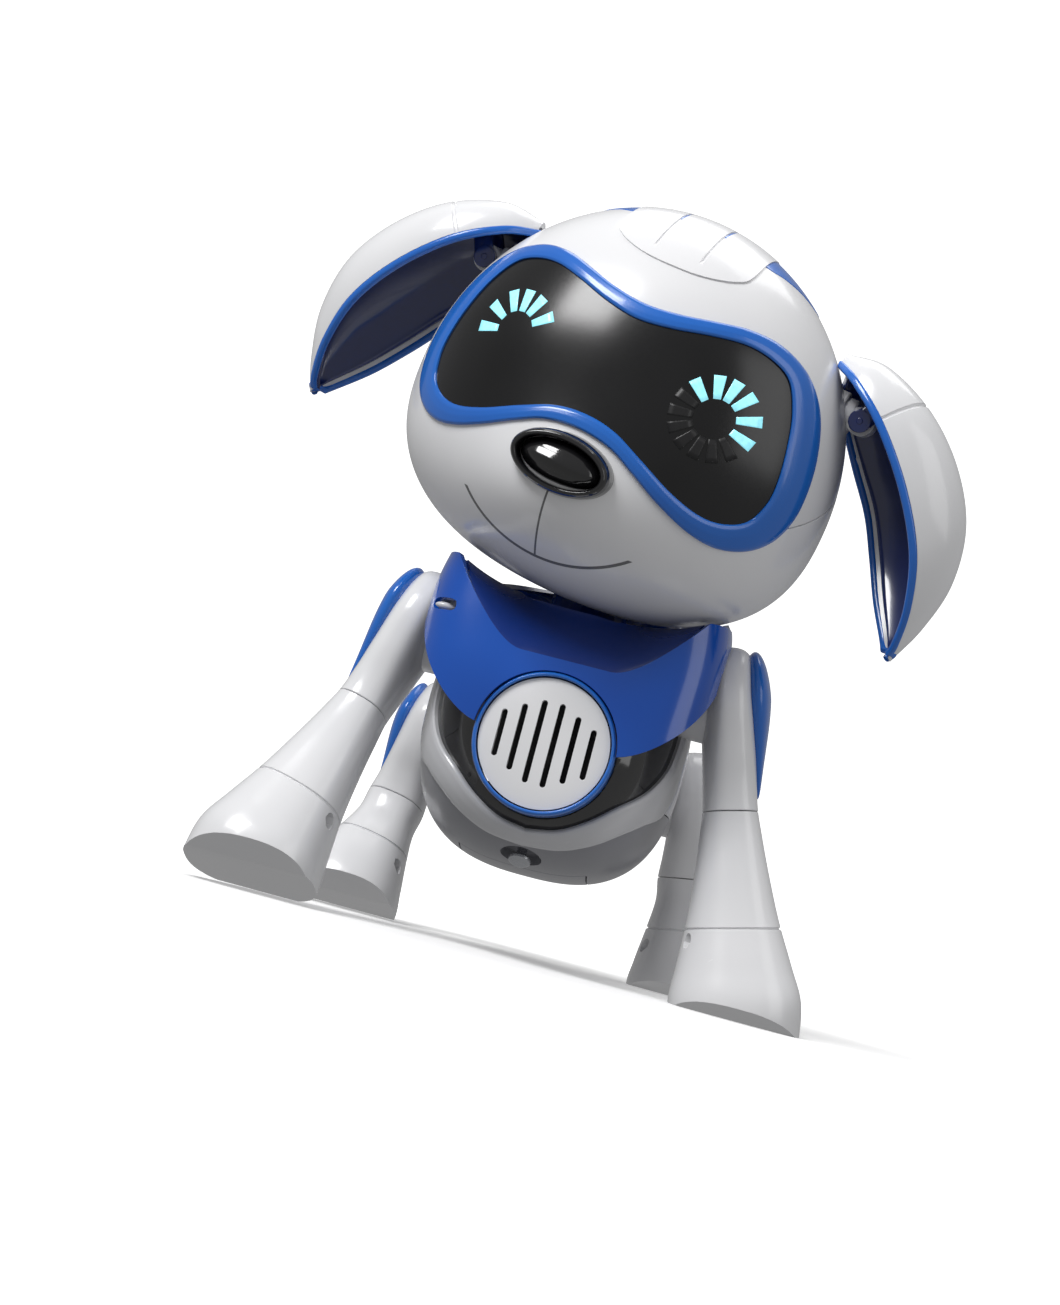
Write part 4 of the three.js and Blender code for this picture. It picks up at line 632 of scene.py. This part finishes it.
def head_skin(x, y, z, off=0):
    forward = np.maximum(0, -y)
    level = np.hypot(x, y)
    fuller = np.where(z < 0, (level**2.5 + abs(z) ** 2.5) ** (-1 / 2.5), 1)
    x, y, z = x * fuller * (HEAD_HALF_WIDTH + off), y * fuller * (np.where(y < 0, HEAD_FRONT, HEAD_BACK)
        + off), z * fuller * (np.where(z < 0, HEAD_DOWN, HEAD_UP) + off)
    z = z + HEAD_WIDEST_Z
    return x, y - muzzle(x, z, forward), z


def face_y(x, z, off=0):
    """How far forward the face's skin is at a place seen from the front."""
    a = x / (HEAD_HALF_WIDTH + off)
    c = (z - HEAD_WIDEST_Z) / (np.where(z < HEAD_WIDEST_Z, HEAD_DOWN, HEAD_UP) + off)
    level = np.where(c < 0, np.maximum(1 - abs(c) ** 2.5, 0) ** 0.4, np.sqrt(np.maximum(1 - c**2, 0)))
    b = np.sqrt(np.maximum(level**2 - a**2, 1e-4))
    return -(HEAD_FRONT + off) * b - muzzle(x, z, b / np.sqrt(a**2 + b**2 + c**2))


def face_grooves_and_painted_shade(start, at):
    """The smile and the line down from the nose, as a mask in the head's own millimetres; the mask sinks them by bump
    and darkens them as painted shade.
    """
    back_turn = head_turn.transposed()
    shift = -(back_turn @ head_centre) * 1000
    local = start.node("Mapping", {}, {"Vector": at, "Scale": (1000, 1000, 1000), "Rotation": back_turn.to_euler("XYZ"),
        "Location": shift})
    x = start.node("SeparateXYZ", {}, {"Vector": local}, out=0)
    y = start.node("SeparateXYZ", {}, {"Vector": local}, out=1)
    z = start.node("SeparateXYZ", {}, {"Vector": local}, out=2)
    smile_radius, smile_top = 38.5, -7.9
    drop = z - smile_top
    smile = start.maths("ABSOLUTE", start.maths("SQRT", x * x + drop * drop) - smile_radius)
    smile = smile.maths("LESS_THAN", smile, 0.42) * z.maths("LESS_THAN", z, -36.3)
    upright = x.maths("LESS_THAN", x.maths("ABSOLUTE", x), 0.3) * z.maths("LESS_THAN", z, -26) * z.maths("GREATER_THAN",
        z, -46.4)
    return start.maths("MAXIMUM", smile, upright) * y.maths("LESS_THAN", y, -20)


white_face = moulded_plastic("white_abs_face", (0.80, 0.80, 0.815, 1), (0.745, 0.748, 0.765, 1), 0.23, coat=0.25,
    line=face_grooves_and_painted_shade)
seam_height = lambda y: 0.45 * y - 0.5
in_muzzle = lambda x, y, z: (abs(x) < 38) & (y < -30) & (z < 8)
throat_lean = radians(10)


def throat(x, y, z):
    run_y = y * cos(throat_lean) + z * sin(throat_lean)
    return np.where(z < -10, 15.5 - 15.5 * np.hypot(x / 31, run_y / 15.5), -9.0)


crown_shell = mould(ball(208, 120), head_skin)
trim(crown_shell, lambda x, y, z: seam_height(y) + 0.17 - z)
bmesh.ops.delete(crown_shell, geom=[f for f in crown_shell.faces if in_muzzle(*f.calc_center_median())], context="FACES")
piece(crown_shell, "head_crown_moulding", "head", white_abs, ["head_top_shell"], place=head_place,
    heart=head_heart, wall=WALL, edge=0.3)

jaw = mould(ball(208, 120), head_skin)
trim(jaw, lambda x, y, z: np.where(in_muzzle(x, y, z), -1.0, z - seam_height(y) + 0.17))
trim(jaw, throat)
piece(jaw, "head_jaw_moulding", "head", white_face, ["head_jaw_shell"], place=head_place,
    heart=head_heart, wall=WALL, edge=0.3)

# ---- Visor ----
# A blue rolled-edge frame stands proud of the face and holds the polished near-black lens. Six lit windows in a
# fan make each eye, printed through from the lamps on the board behind.
FRAME_HALF = [
    (0, 29.6), (10, 30.7), (20, 33), (28, 34.6), (36.5, 34.3), (44.5, 31), (50.5, 25.5), (55, 18), (58.3, 8), (59.7, -2),
    (59.3, -10), (56.8, -17), (52, -21.8), (45, -24), (37, -22.8), (27.5, -18.8), (18.2, -13.8), (10, -10), (0, -8.6),
]
LENS_HALF = [
    (0, 24.7), (10, 26), (20, 28.5), (29, 30.1), (36.5, 29.3), (42.8, 26), (47.4, 18.2), (50.2, 9), (51.8, 0), (51.8, -7),
    (49.3, -13.6), (44, -16.7), (37.5, -16.9), (28.8, -14.1), (18.5, -9.2), (9, -5.2), (0, -4),
]
FRAME_SECTION = [(0, -1.2), (0.01, 0.2), (0.05, 0.8), (0.13, 1.15), (0.5, 1.35), (0.8, 1.2), (0.93, 0.85), (0.985, 0.3),
    (1, -1.0)]


def loop_through(half, count):
    """A closed smooth outline through the points of its right half and their mirror images, evenly spaced."""
    whole = half + [(-x, z) for x, z in reversed(half) if x > 0]
    around = whole[-3:] + whole + whole[:4]
    fine = smooth_line(np.linspace(3, 3 + len(whole), 1500) / (len(around) - 1), around)
    reach = np.concatenate([[0], np.cumsum(np.hypot(*np.diff(fine, axis=0).T))])
    even = np.linspace(0, reach[-1], count)
    return np.stack([np.interp(even, reach, fine[:, 0]), np.interp(even, reach, fine[:, 1])], 1)


def outside(x, z, outline):
    """Distance from a closed outline, above nought outside it."""
    nearest = np.full(x.shape, 1e9)
    crossings = np.zeros(x.shape, int)
    for (ax, az), (bx, bz) in zip(outline, np.roll(outline, -1, 0)):
        run = np.clip(((x - ax) * (bx - ax) + (z - az) * (bz - az)) / max((bx - ax) ** 2 + (bz - az) ** 2, 1e-12), 0, 1)
        nearest = np.minimum(nearest, np.hypot(x - ax - run * (bx - ax), z - az - run * (bz - az)))
        if az != bz:
            crossings += ((az > z) != (bz > z)) & (x < ax + (z - az) * (bx - ax) / (bz - az))
    return np.where(crossings % 2, -nearest, nearest)


frame_loop, lens_loop = loop_through(FRAME_HALF, 361), loop_through(LENS_HALF, 361)


def visor_frame_shape(u, v, z):
    at = u * 360
    outer = np.stack([np.interp(at, range(361), frame_loop[:, i]) for i in (0, 1)])
    inner = np.stack([np.interp(at, range(361), lens_loop[:, i]) for i in (0, 1)])
    share = np.interp(v * 8, range(9), [p[0] for p in FRAME_SECTION])
    lift = np.interp(v * 8, range(9), [p[1] for p in FRAME_SECTION])
    x, zz = outer * (1 - share) + inner * share
    return x, face_y(x, zz, lift), zz


visor = mould(sheet(360, 32), visor_frame_shape)
piece(visor, "visor_frame_moulding", "head", blue_abs, ["visor_frame"], place=head_place,
    heart=head_heart, sharp=60)


visor_black = moulded_plastic("visor_black", (0.012, 0.012, 0.013, 1), (0.004, 0.004, 0.0045, 1), 0.24, ripple=0.03,
    scuffs=0.05)
lens = bmesh.new()
bmesh.ops.create_grid(lens, x_segments=110, y_segments=52, size=1)
mould(lens, lambda x, y, z: (x * 53, 0, y * 25 + 7))
trim(lens, lambda x, y, z: outside(x, z, lens_loop[:-1]) - 1.6)
mould(lens, lambda x, y, z: (x, face_y(x, z, 0.4), z))
piece(lens, "visor_lens_polished", "head", visor_black, ["visor_lens"], place=head_place,
    heart=head_heart, wall=1.8)

EYE_X, EYE_Z, EYE_INNER, EYE_OUTER, EYE_WIDTH = 31, 8.5, 5.5, 12, 3.2
EYE_FAN = (140, 108, 83, 56, 21, -14)


def lamp_window(name, colour, glow):
    material = bpy.data.materials.new(name)
    material.use_nodes = True
    tree = material.node_tree
    skin = tree.nodes["Principled BSDF"]
    start = Wire(tree)
    at = start.node("TexCoord", out="Object")
    dots = start.node("TexNoise", {}, {"Vector": at, "Scale": 900, "Detail": 1})
    shade = dots.ramp((0.3, 0), (0.7, 1)).blend(tuple(c * 0.82 for c in colour[:3]) + (1,), colour)
    tree.links.new(shade.socket, skin.inputs["Base Color"])
    tree.links.new(shade.socket, skin.inputs["Emission Color"])
    skin.inputs["Emission Strength"].default_value = glow
    tree.links.new((dots * 0.1 + 0.15).socket, skin.inputs["Roughness"])
    return material


lit_cyan = lamp_window("lit_cyan", (0.30, 0.78, 0.90, 1), 0.75)
unlit_window = moulded_plastic("unlit_window", (0.010, 0.010, 0.011, 1), (0.006, 0.006, 0.007, 1), 0.45)
for side, hand in ((1, "left"), (-1, "right")):
    eye, unlit = bmesh.new(), bmesh.new()
    for angle in (*EYE_FAN, *(range(-44, -206, -25) if side > 0 else ())):
        bm = eye if angle in EYE_FAN else unlit
        window = sheet(6, 4)

        def fan(u, v, z, angle=angle):
            reach = EYE_INNER + (EYE_OUTER - EYE_INNER) * v
            aside = (u - 0.5) * EYE_WIDTH * (0.6 + 0.4 * v)
            a = radians(angle)
            x = side * (EYE_X + reach * cos(a) - aside * sin(a))
            zz = EYE_Z + reach * sin(a) + aside * cos(a)
            return x, face_y(x, zz, 0.47), zz

        mould(window, fan)
        loose = bpy.data.meshes.new("window")
        window.to_mesh(loose)
        bm.from_mesh(loose)
        window.free()
        bpy.data.meshes.remove(loose)
    piece(eye, f"{hand}_eye_windows", "head", lit_cyan, place=head_place, heart=head_heart, wall=0.3)
    if side > 0:
        piece(unlit, f"{hand}_eye_unlit", "head", unlit_window, place=head_place, heart=head_heart, wall=0.3)

# ---- Nose ----
# A black gloss rim is fixed to the jaw; the button inside it has a raised middle and presses in on a spring.
NOSE_Z, NOSE_Y, NOSE_WIDE, NOSE_HIGH = -18.8, -60.5, 15, 8.6
nose_black = moulded_plastic("nose_black", (0.010, 0.010, 0.011, 1), (0.005, 0.005, 0.006, 1), 0.12, ripple=0.03, coat=0.7)
RIM_SECTION = [(1.0, 3), (1.0, 0), (0.975, -2.2), (0.93, -4.0), (0.87, -4.9), (0.80, -5.0), (0.755, -4.4), (0.74, -3.2),
    (0.74, 2)]
nose_rim = mould(sheet(120, 32), lambda u, v, z: (
    (NOSE_WIDE - 2.6 * (1 - (np.interp(v * 8, range(9), [p[0] for p in RIM_SECTION]) - 0.74) / 0.26)) * np.cos(2 * pi * u),
    NOSE_Y + np.interp(v * 8, range(9), [p[1] for p in RIM_SECTION]),
    NOSE_Z + (NOSE_HIGH - 2.6 * (1 - (np.interp(v * 8, range(9), [p[0] for p in RIM_SECTION])
        - 0.74) / 0.26)) * np.sin(2 * pi * u),
))
piece(nose_rim, "nose_rim_moulding", "head", nose_black, ["nose_bezel"], place=head_place, sharp=70)


def button_shape(x, y, z):
    wide, high = NOSE_WIDE - 2.75, NOSE_HIGH - 2.75
    crest = 0.9 * np.maximum(0, 1 - abs(z) * 2.2) * np.maximum(0, -y)
    return x * wide, NOSE_Y + np.where(y < 0, y * 6.0, y * 3) - crest, NOSE_Z + z * high


piece(mould(ball(72, 48), button_shape), "nose_button_moulding", "nose", nose_black, ["nose_button"],
    place=head_place, sharp=80)

# ---- Crown ----
# A white panel with two scored lines lies on top of the head, over a blue piece that shows at both its sides.
CROWN_LINE = [(0, -37.5), (7, -36.8), (13, -34.6), (18, -31), (20.7, -26), (20.9, -12), (20.7, 0), (19.5, 8),
    (14, 11.5), (7, 13), (0, 13.4)]
CROWN_BAND_LINE = [(0, -17), (12, -17), (21, -16), (27, -11), (33, -4.5), (37, 1), (37.5, 8), (35, 14), (28, 19),
    (20, 23), (10, 25.4), (0, 26)]


def top_z(x, y, off=0):
    share = (x / (HEAD_HALF_WIDTH + off)) ** 2 + (y / (np.where(y < 0, HEAD_FRONT, HEAD_BACK) + off)) ** 2
    return (HEAD_UP + off) * np.sqrt(np.maximum(1 - share, 0)) + HEAD_WIDEST_Z


def crown_piece(name, line, lift, nodes, finish, grooves=()):
    loop = loop_through(line, 241)[:-1]
    marks = [0.5 + (g + d) / 80 for g in grooves for d in (-0.5, -0.18, 0.18, 0.5)]
    bm = sheet(80, 72, across=marks)
    mould(bm, lambda u, v, z: ((u - 0.5) * 80, -40 + v * 68, 0))
    trim(bm, lambda x, y, z: outside(x, y, loop))
    dip = lambda x, y: sum(((abs(x - g) < 0.3) & (y > -33) & (y < 9)) * 0.6 for g in grooves) if grooves else 0 * x
    mould(bm, lambda x, y, z: (x, y, top_z(x, y, lift) - dip(x, y)))
    piece(bm, name, "head", finish, nodes, place=head_place, heart=head_heart, wall=WALL, edge=0.3)


crown_piece("crown_panel_moulding", CROWN_LINE, 0.5, ["crown_panel"], white_abs, grooves=(-7, 7))
crown_piece("crown_band_moulding", CROWN_BAND_LINE, 0.2, ["crown_band"], blue_abs)

# ---- Ears ----
# Each ear hangs from a stepped arm on the head. Its white outer shell has a seam near the root, a blue edging is
# pressed over the rim, and a dark blue polished lining fills the hollow and carries the hinge lugs and pin.
EAR_FRONT = [(50, -1, 37.5), (58, -10, 34), (70, -15, 25.5), (83, -15, 12), (93, -12, -3), (98, -7, -18), (99, -2, -30),
    (98, 1, -35)]
EAR_BACK = [(51, 12, 31), (56, 20, 22), (64, 25, 11), (73, 25, 0), (80, 22, -11), (87, 16, -22), (94, 9, -31), (97, 4, -35)]
EAR_RIDGE = [(50.5, 6, 39.5), (63, 7, 40), (79, 8, 33), (92, 9, 22), (101, 9, 8), (104.5, 8, -8), (103, 6, -23),
    (99, 3, -36)]
PIVOT_X, PIVOT_Y, PIVOT_Z = 62, 5, 24
navy_gloss = moulded_plastic("navy_gloss", (0.010, 0.028, 0.16, 1), (0.006, 0.016, 0.10, 1), 0.16, ripple=0.04, coat=0.8)


def ear_point(along, turn, inset):
    front, rear, ridge = (smooth_line(along, line) for line in (EAR_FRONT, EAR_BACK, EAR_RIDGE))
    centre, width = (front + rear) / 2, (rear - front) / 2
    rise = ridge - centre
    inset = np.broadcast_to(inset, along.shape)
    deep = np.maximum(0.15, 1 - inset / np.linalg.norm(rise, axis=1))
    wide = np.maximum(0.15, 1 - inset / np.linalg.norm(width, axis=1))
    return (centre + rise * (np.cos(turn) * deep)[:, None] + width * (np.sin(turn) * wide)[:, None]).T


for side, hand in ((1, "left"), (-1, "right")):
    ear_place = head_place @ Matrix.Diagonal((side, 1, 1, 1))
    ARM_PROFILE = [(40, 6.5), (55.4, 6.5), (55.8, 6.1), (55.8, 5.3), (58.6, 5.3), (59.2, 4.8), (59.3, 0)]
    arm = mould(sheet(64, 36), lambda u, v, z: (
        np.interp(v * 6, range(7), [p[0] for p in ARM_PROFILE]),
        PIVOT_Y + np.interp(v * 6, range(7), [p[1] for p in ARM_PROFILE]) * np.cos(2 * pi * u),
        PIVOT_Z + np.interp(v * 6, range(7), [p[1] for p in ARM_PROFILE]) * np.sin(2 * pi * u),
    ))
    bmesh.ops.create_cone(arm, cap_ends=True, segments=40, radius1=4.2, radius2=4.2, depth=10,
                          matrix=Matrix.Translation((PIVOT_X, PIVOT_Y, PIVOT_Z)) @ Matrix.Rotation(pi / 2, 4, "X"))
    piece(arm, f"{hand}_ear_arm_moulding", "head", white_abs, [f"{hand}_ear_arm"], place=ear_place,
        edge=0.4)

    seam_at = 0.27
    scored = [seam_at + d for d in (-0.006, -0.002, 0.002, 0.006)]
    shell = mould(sheet(110, 48, across=scored), lambda u, v,
        z: ear_point(u, (v - 0.5) * pi * 0.985, 0.5 * (abs(u - seam_at) < 0.004)))
    piece(shell, f"{hand}_ear_shell_moulding", f"{hand}_ear", white_abs, [f"{hand}_ear_shell"],
        place=ear_place, heart=(72, 7, 2), wall=1.8, edge=0.4)

    lining = mould(sheet(100, 40), lambda u, v, z: ear_point(0.02 + u * 0.955, (v - 0.5) * pi * 0.96, 2.4))
    piece(lining, f"{hand}_ear_lining_moulding", f"{hand}_ear", navy_gloss, [f"{hand}_ear_lining"],
        place=ear_place, heart=(72, 7, 2), wall=1.2)

    def edging(u, v, z):
        on_front = u < 0.5
        along = np.where(on_front, u * 2, 2 - u * 2)
        turn = np.where(on_front, -pi / 2, pi / 2)
        tip = ease((along - 0.93) / 0.07)
        rim = ear_point(along, turn * (1 - tip), 0.9 * np.ones_like(along)).T
        ahead = ear_point(np.clip(along + 0.01, 0, 1), turn,
            0.9 * np.ones_like(along)).T - ear_point(np.clip(along - 0.01, 0, 1), turn, 0.9 * np.ones_like(along)).T
        ahead /= np.linalg.norm(ahead, axis=1)[:, None]
        front, rear, ridge = (smooth_line(along, line) for line in (EAR_FRONT, EAR_BACK, EAR_RIDGE))
        rise = ridge - (front + rear) / 2
        rise /= np.linalg.norm(rise, axis=1)[:, None]
        aside = np.cross(ahead, rise)
        a = 2 * pi * v
        c, n = np.cos(a), np.sin(a)
        plump = (abs(c) ** 3 + abs(n) ** 3) ** (-1 / 3)
        return (rim + aside * (1.25 * c * plump)[:, None] + rise * (1.2 * n * plump - 0.5)[:, None]).T

    edge_strip = mould(sheet(200, 20), edging)
    piece(edge_strip, f"{hand}_ear_edging", f"{hand}_ear", blue_abs, place=ear_place, sharp=60)

    lugs = bmesh.new()
    for end in (-1, 1):
        lug_y = PIVOT_Y + end * 6.6
        bmesh.ops.create_cone(lugs, cap_ends=True, segments=28, radius1=3.4, radius2=3.4, depth=2.4,
                              matrix=Matrix.Translation((PIVOT_X, lug_y, PIVOT_Z)) @ Matrix.Rotation(pi / 2, 4, "X"))
        bmesh.ops.create_cone(lugs, cap_ends=True, segments=20, radius1=3.2, radius2=2.6, depth=12,
                              matrix=Matrix.Translation((PIVOT_X + 3.5, lug_y,
                                  PIVOT_Z + 6)) @ Matrix.Rotation(radians(28), 4, "Y") @ Matrix.Diagonal((1, 0.38, 1, 1)))
    bmesh.ops.create_cone(lugs, cap_ends=True, segments=20, radius1=1, radius2=1, depth=16,
                          matrix=Matrix.Translation((PIVOT_X, PIVOT_Y, PIVOT_Z)) @ Matrix.Rotation(pi / 2, 4, "X"))
    piece(lugs, f"{hand}_ear_hinge_lugs", f"{hand}_ear", navy_gloss, place=ear_place, edge=0.3)

# ---- Tail and switch ----
# The tail is a solid white horn on an upright pin in the back shell. The power switch under it slides sideways.
tail_root = Vector(joints["tail_wag"]["pos_m"])
tail_place = Matrix.Translation(tail_root) @ Matrix.Scale(0.001, 4)


def horn(u, v, z):
    s = np.clip(v * 1.12, 0, 1)
    dome = np.clip((v - 1 / 1.12) / (1 - 1 / 1.12), 0, 1) * pi / 2
    bend = (1 - s)[:, None] ** 2 * np.array((0, 1, 0)) + 2 * ((1 - s) * s)[:, None] * np.array((0, 16, 3)) + (s**2)[:,
        None] * np.array((0, 20, 26))
    way = 2 * (1 - s)[:, None] * np.array((0, 15, 3)) + 2 * s[:, None] * np.array((0, 4, 23))
    way /= np.linalg.norm(way, axis=1)[:, None]
    radius = (4.2 - 2.5 * s) * np.cos(dome)
    bend = bend + way * (1.7 * np.sin(dome))[:, None]
    side = np.stack([0 * s, way[:, 2], -way[:, 1]], 1)
    return (bend + side * (radius * np.sin(2 * pi * u))[:, None]
        + np.array((1, 0, 0)) * (radius * np.cos(2 * pi * u))[:, None]).T


tail = mould(sheet(40, 48), horn)
bmesh.ops.remove_doubles(tail, verts=tail.verts, dist=1e-3)
close_ends(tail)
bmesh.ops.create_cone(tail, cap_ends=True, segments=40, radius1=4.6, radius2=4.6, depth=11)
piece(tail, "tail_moulding", "tail", white_abs, ["tail"], place=tail_place, edge=0.4)

# ---- Inside ----
# What the shells hold: nylon gears, cranks and frames, steel motor cans, the boards, three cells and the cone.
nylon = moulded_plastic("natural_nylon", (0.72, 0.70, 0.62, 1), (0.62, 0.60, 0.52, 1), 0.5)
board_green = moulded_plastic("board_green", (0.02, 0.16, 0.06, 1), (0.012, 0.11, 0.04, 1), 0.42)
cell_jacket = moulded_plastic("cell_jacket", (0.05, 0.055, 0.062, 1), (0.03, 0.033, 0.04, 1), 0.34)
cone_paper = moulded_plastic("cone_paper", (0.016, 0.016, 0.018, 1), (0.009, 0.009, 0.010, 1), 0.6)
switch_black = moulded_plastic("switch_black", (0.020, 0.020, 0.022, 1), (0.012, 0.012, 0.014, 1), 0.38)
INSIDE = {
    nylon: ["drive_frame", "head_frame", "tilt_pinion", "left_pinion", "right_pinion", "left_link_rod", "right_link_rod",
            "left_front_axle_gear", "right_front_axle_gear", "left_rear_axle_crank", "right_rear_axle_crank"],
    bright_steel: ["walk_motor_left", "walk_motor_right", "neck_motor", "tilt_motor"],
    board_green: ["main_board", "eye_board"],
    cell_jacket: ["battery_cell_1", "battery_cell_2", "battery_cell_3"],
    cone_paper: ["speaker_driver"],
    switch_black: ["power_switch"],
    # the neck post takes the same darker blue, painted shade from the head above
    ring_blue_painted_shade: ["neck_post"],
}
for finish, names in INSIDE.items():
    for name in names:
        part = frame["nodes"][name]
        part.data.materials.clear()
        part.data.materials.append(finish)

# ---- Studio ----
# A plain pale sweep, three soft panels and the camera.
stand = bmesh.new()
bmesh.ops.create_grid(stand, x_segments=4, y_segments=80, size=1)
SWEEP_HALF, BEND_FROM, BEND_RUN, BEND_RADIUS = 6, 0.3, 0.35, 1.6


def rising_sweep(x, y, z):
    """Flat to the foot of the bend, a quarter round, then straight up."""
    turn = np.clip((y - BEND_FROM) / BEND_RUN, 0, 1) * pi / 2
    bent = y >= BEND_FROM
    run = np.where(bent, SWEEP_HALF * BEND_FROM + BEND_RADIUS * np.sin(turn), y * SWEEP_HALF)
    rise = np.where(bent, BEND_RADIUS * (1 - np.cos(turn)) + np.maximum(y - BEND_FROM - BEND_RUN, 0) * 10, 0)
    return x * SWEEP_HALF, run, rise


mould(stand, rising_sweep)
stand_mesh = bpy.data.meshes.new("studio_sweep")
bmesh.ops.recalc_face_normals(stand, faces=stand.faces)
stand.to_mesh(stand_mesh)
stand.free()
stand_mesh.shade_smooth()
sweep = bpy.data.objects.new("studio_sweep", stand_mesh)
bpy.context.scene.collection.objects.link(sweep)
paper = moulded_plastic("studio_paper", (0.90, 0.90, 0.90, 1), (0.89, 0.89, 0.89, 1), 0.75, scuffs=0)
paper_wire = Wire(paper.node_tree)
far = paper_wire.node("VectorMath", {"operation": "LENGTH"}, {0: paper_wire.node("TexCoord", out="Object")}, out=1)
glow = far.ramp((0.10, 0.22), (0.34, 1))
paper.node_tree.links.new(glow.socket, paper.node_tree.nodes["Principled BSDF"].inputs["Emission Color"])
paper.node_tree.nodes["Principled BSDF"].inputs["Emission Strength"].default_value = 1.0
stand_mesh.materials.append(paper)
sweep.visible_diffuse = sweep.visible_glossy = False

world = bpy.data.worlds.new("studio")
world.use_nodes = True
world.node_tree.nodes["Background"].inputs["Color"].default_value = (1, 1, 1, 1)
world.node_tree.nodes["Background"].inputs["Strength"].default_value = 0.3
bpy.context.scene.world = world


def panel(name, place, aim, width, height, power):
    light = bpy.data.lights.new(name, "AREA")
    light.shape, light.size, light.size_y, light.energy = "RECTANGLE", width, height, power
    lamp = bpy.data.objects.new(name, light)
    bpy.context.scene.collection.objects.link(lamp)
    lamp.location = place
    lamp.rotation_euler = (Vector(aim) - Vector(place)).to_track_quat("-Z", "Y").to_euler()


panel("key_panel", (-0.55, -0.7, 0.95), (0, 0, 0.12), 0.5, 0.5, 13)
panel("fill_panel", (0.9, -0.5, 0.45), (0, 0, 0.1), 0.6, 0.8, 2.2)
panel("top_panel", (0.1, 0.3, 1.1), (0, 0, 0.1), 0.8, 0.6, 3.5)

bpy.context.scene.view_settings.view_transform = "Standard"
view = bpy.data.objects.new("camera", bpy.data.cameras.new("camera"))
bpy.context.scene.collection.objects.link(view)
view.data.lens, view.data.sensor_fit, view.data.sensor_height = 55.8, "VERTICAL", 36
yaw, pitch, roll = radians(4.96), radians(6.85), radians(15)
sight = Vector((-sin(yaw) * cos(pitch), cos(yaw) * cos(pitch), sin(pitch)))
level_right = sight.cross(Vector((0, 0, 1))).normalized()
level_up = level_right.cross(sight)
right = level_right * cos(roll) + level_up * sin(roll)
up = level_up * cos(roll) - level_right * sin(roll)
view.matrix_world = Matrix.Translation((0.040, -0.619, 0.017)) @ Matrix((right, up, -sight)).transposed().to_4x4()
view.data.clip_start, view.data.clip_end = 0.01, 50
bpy.context.scene.camera = view
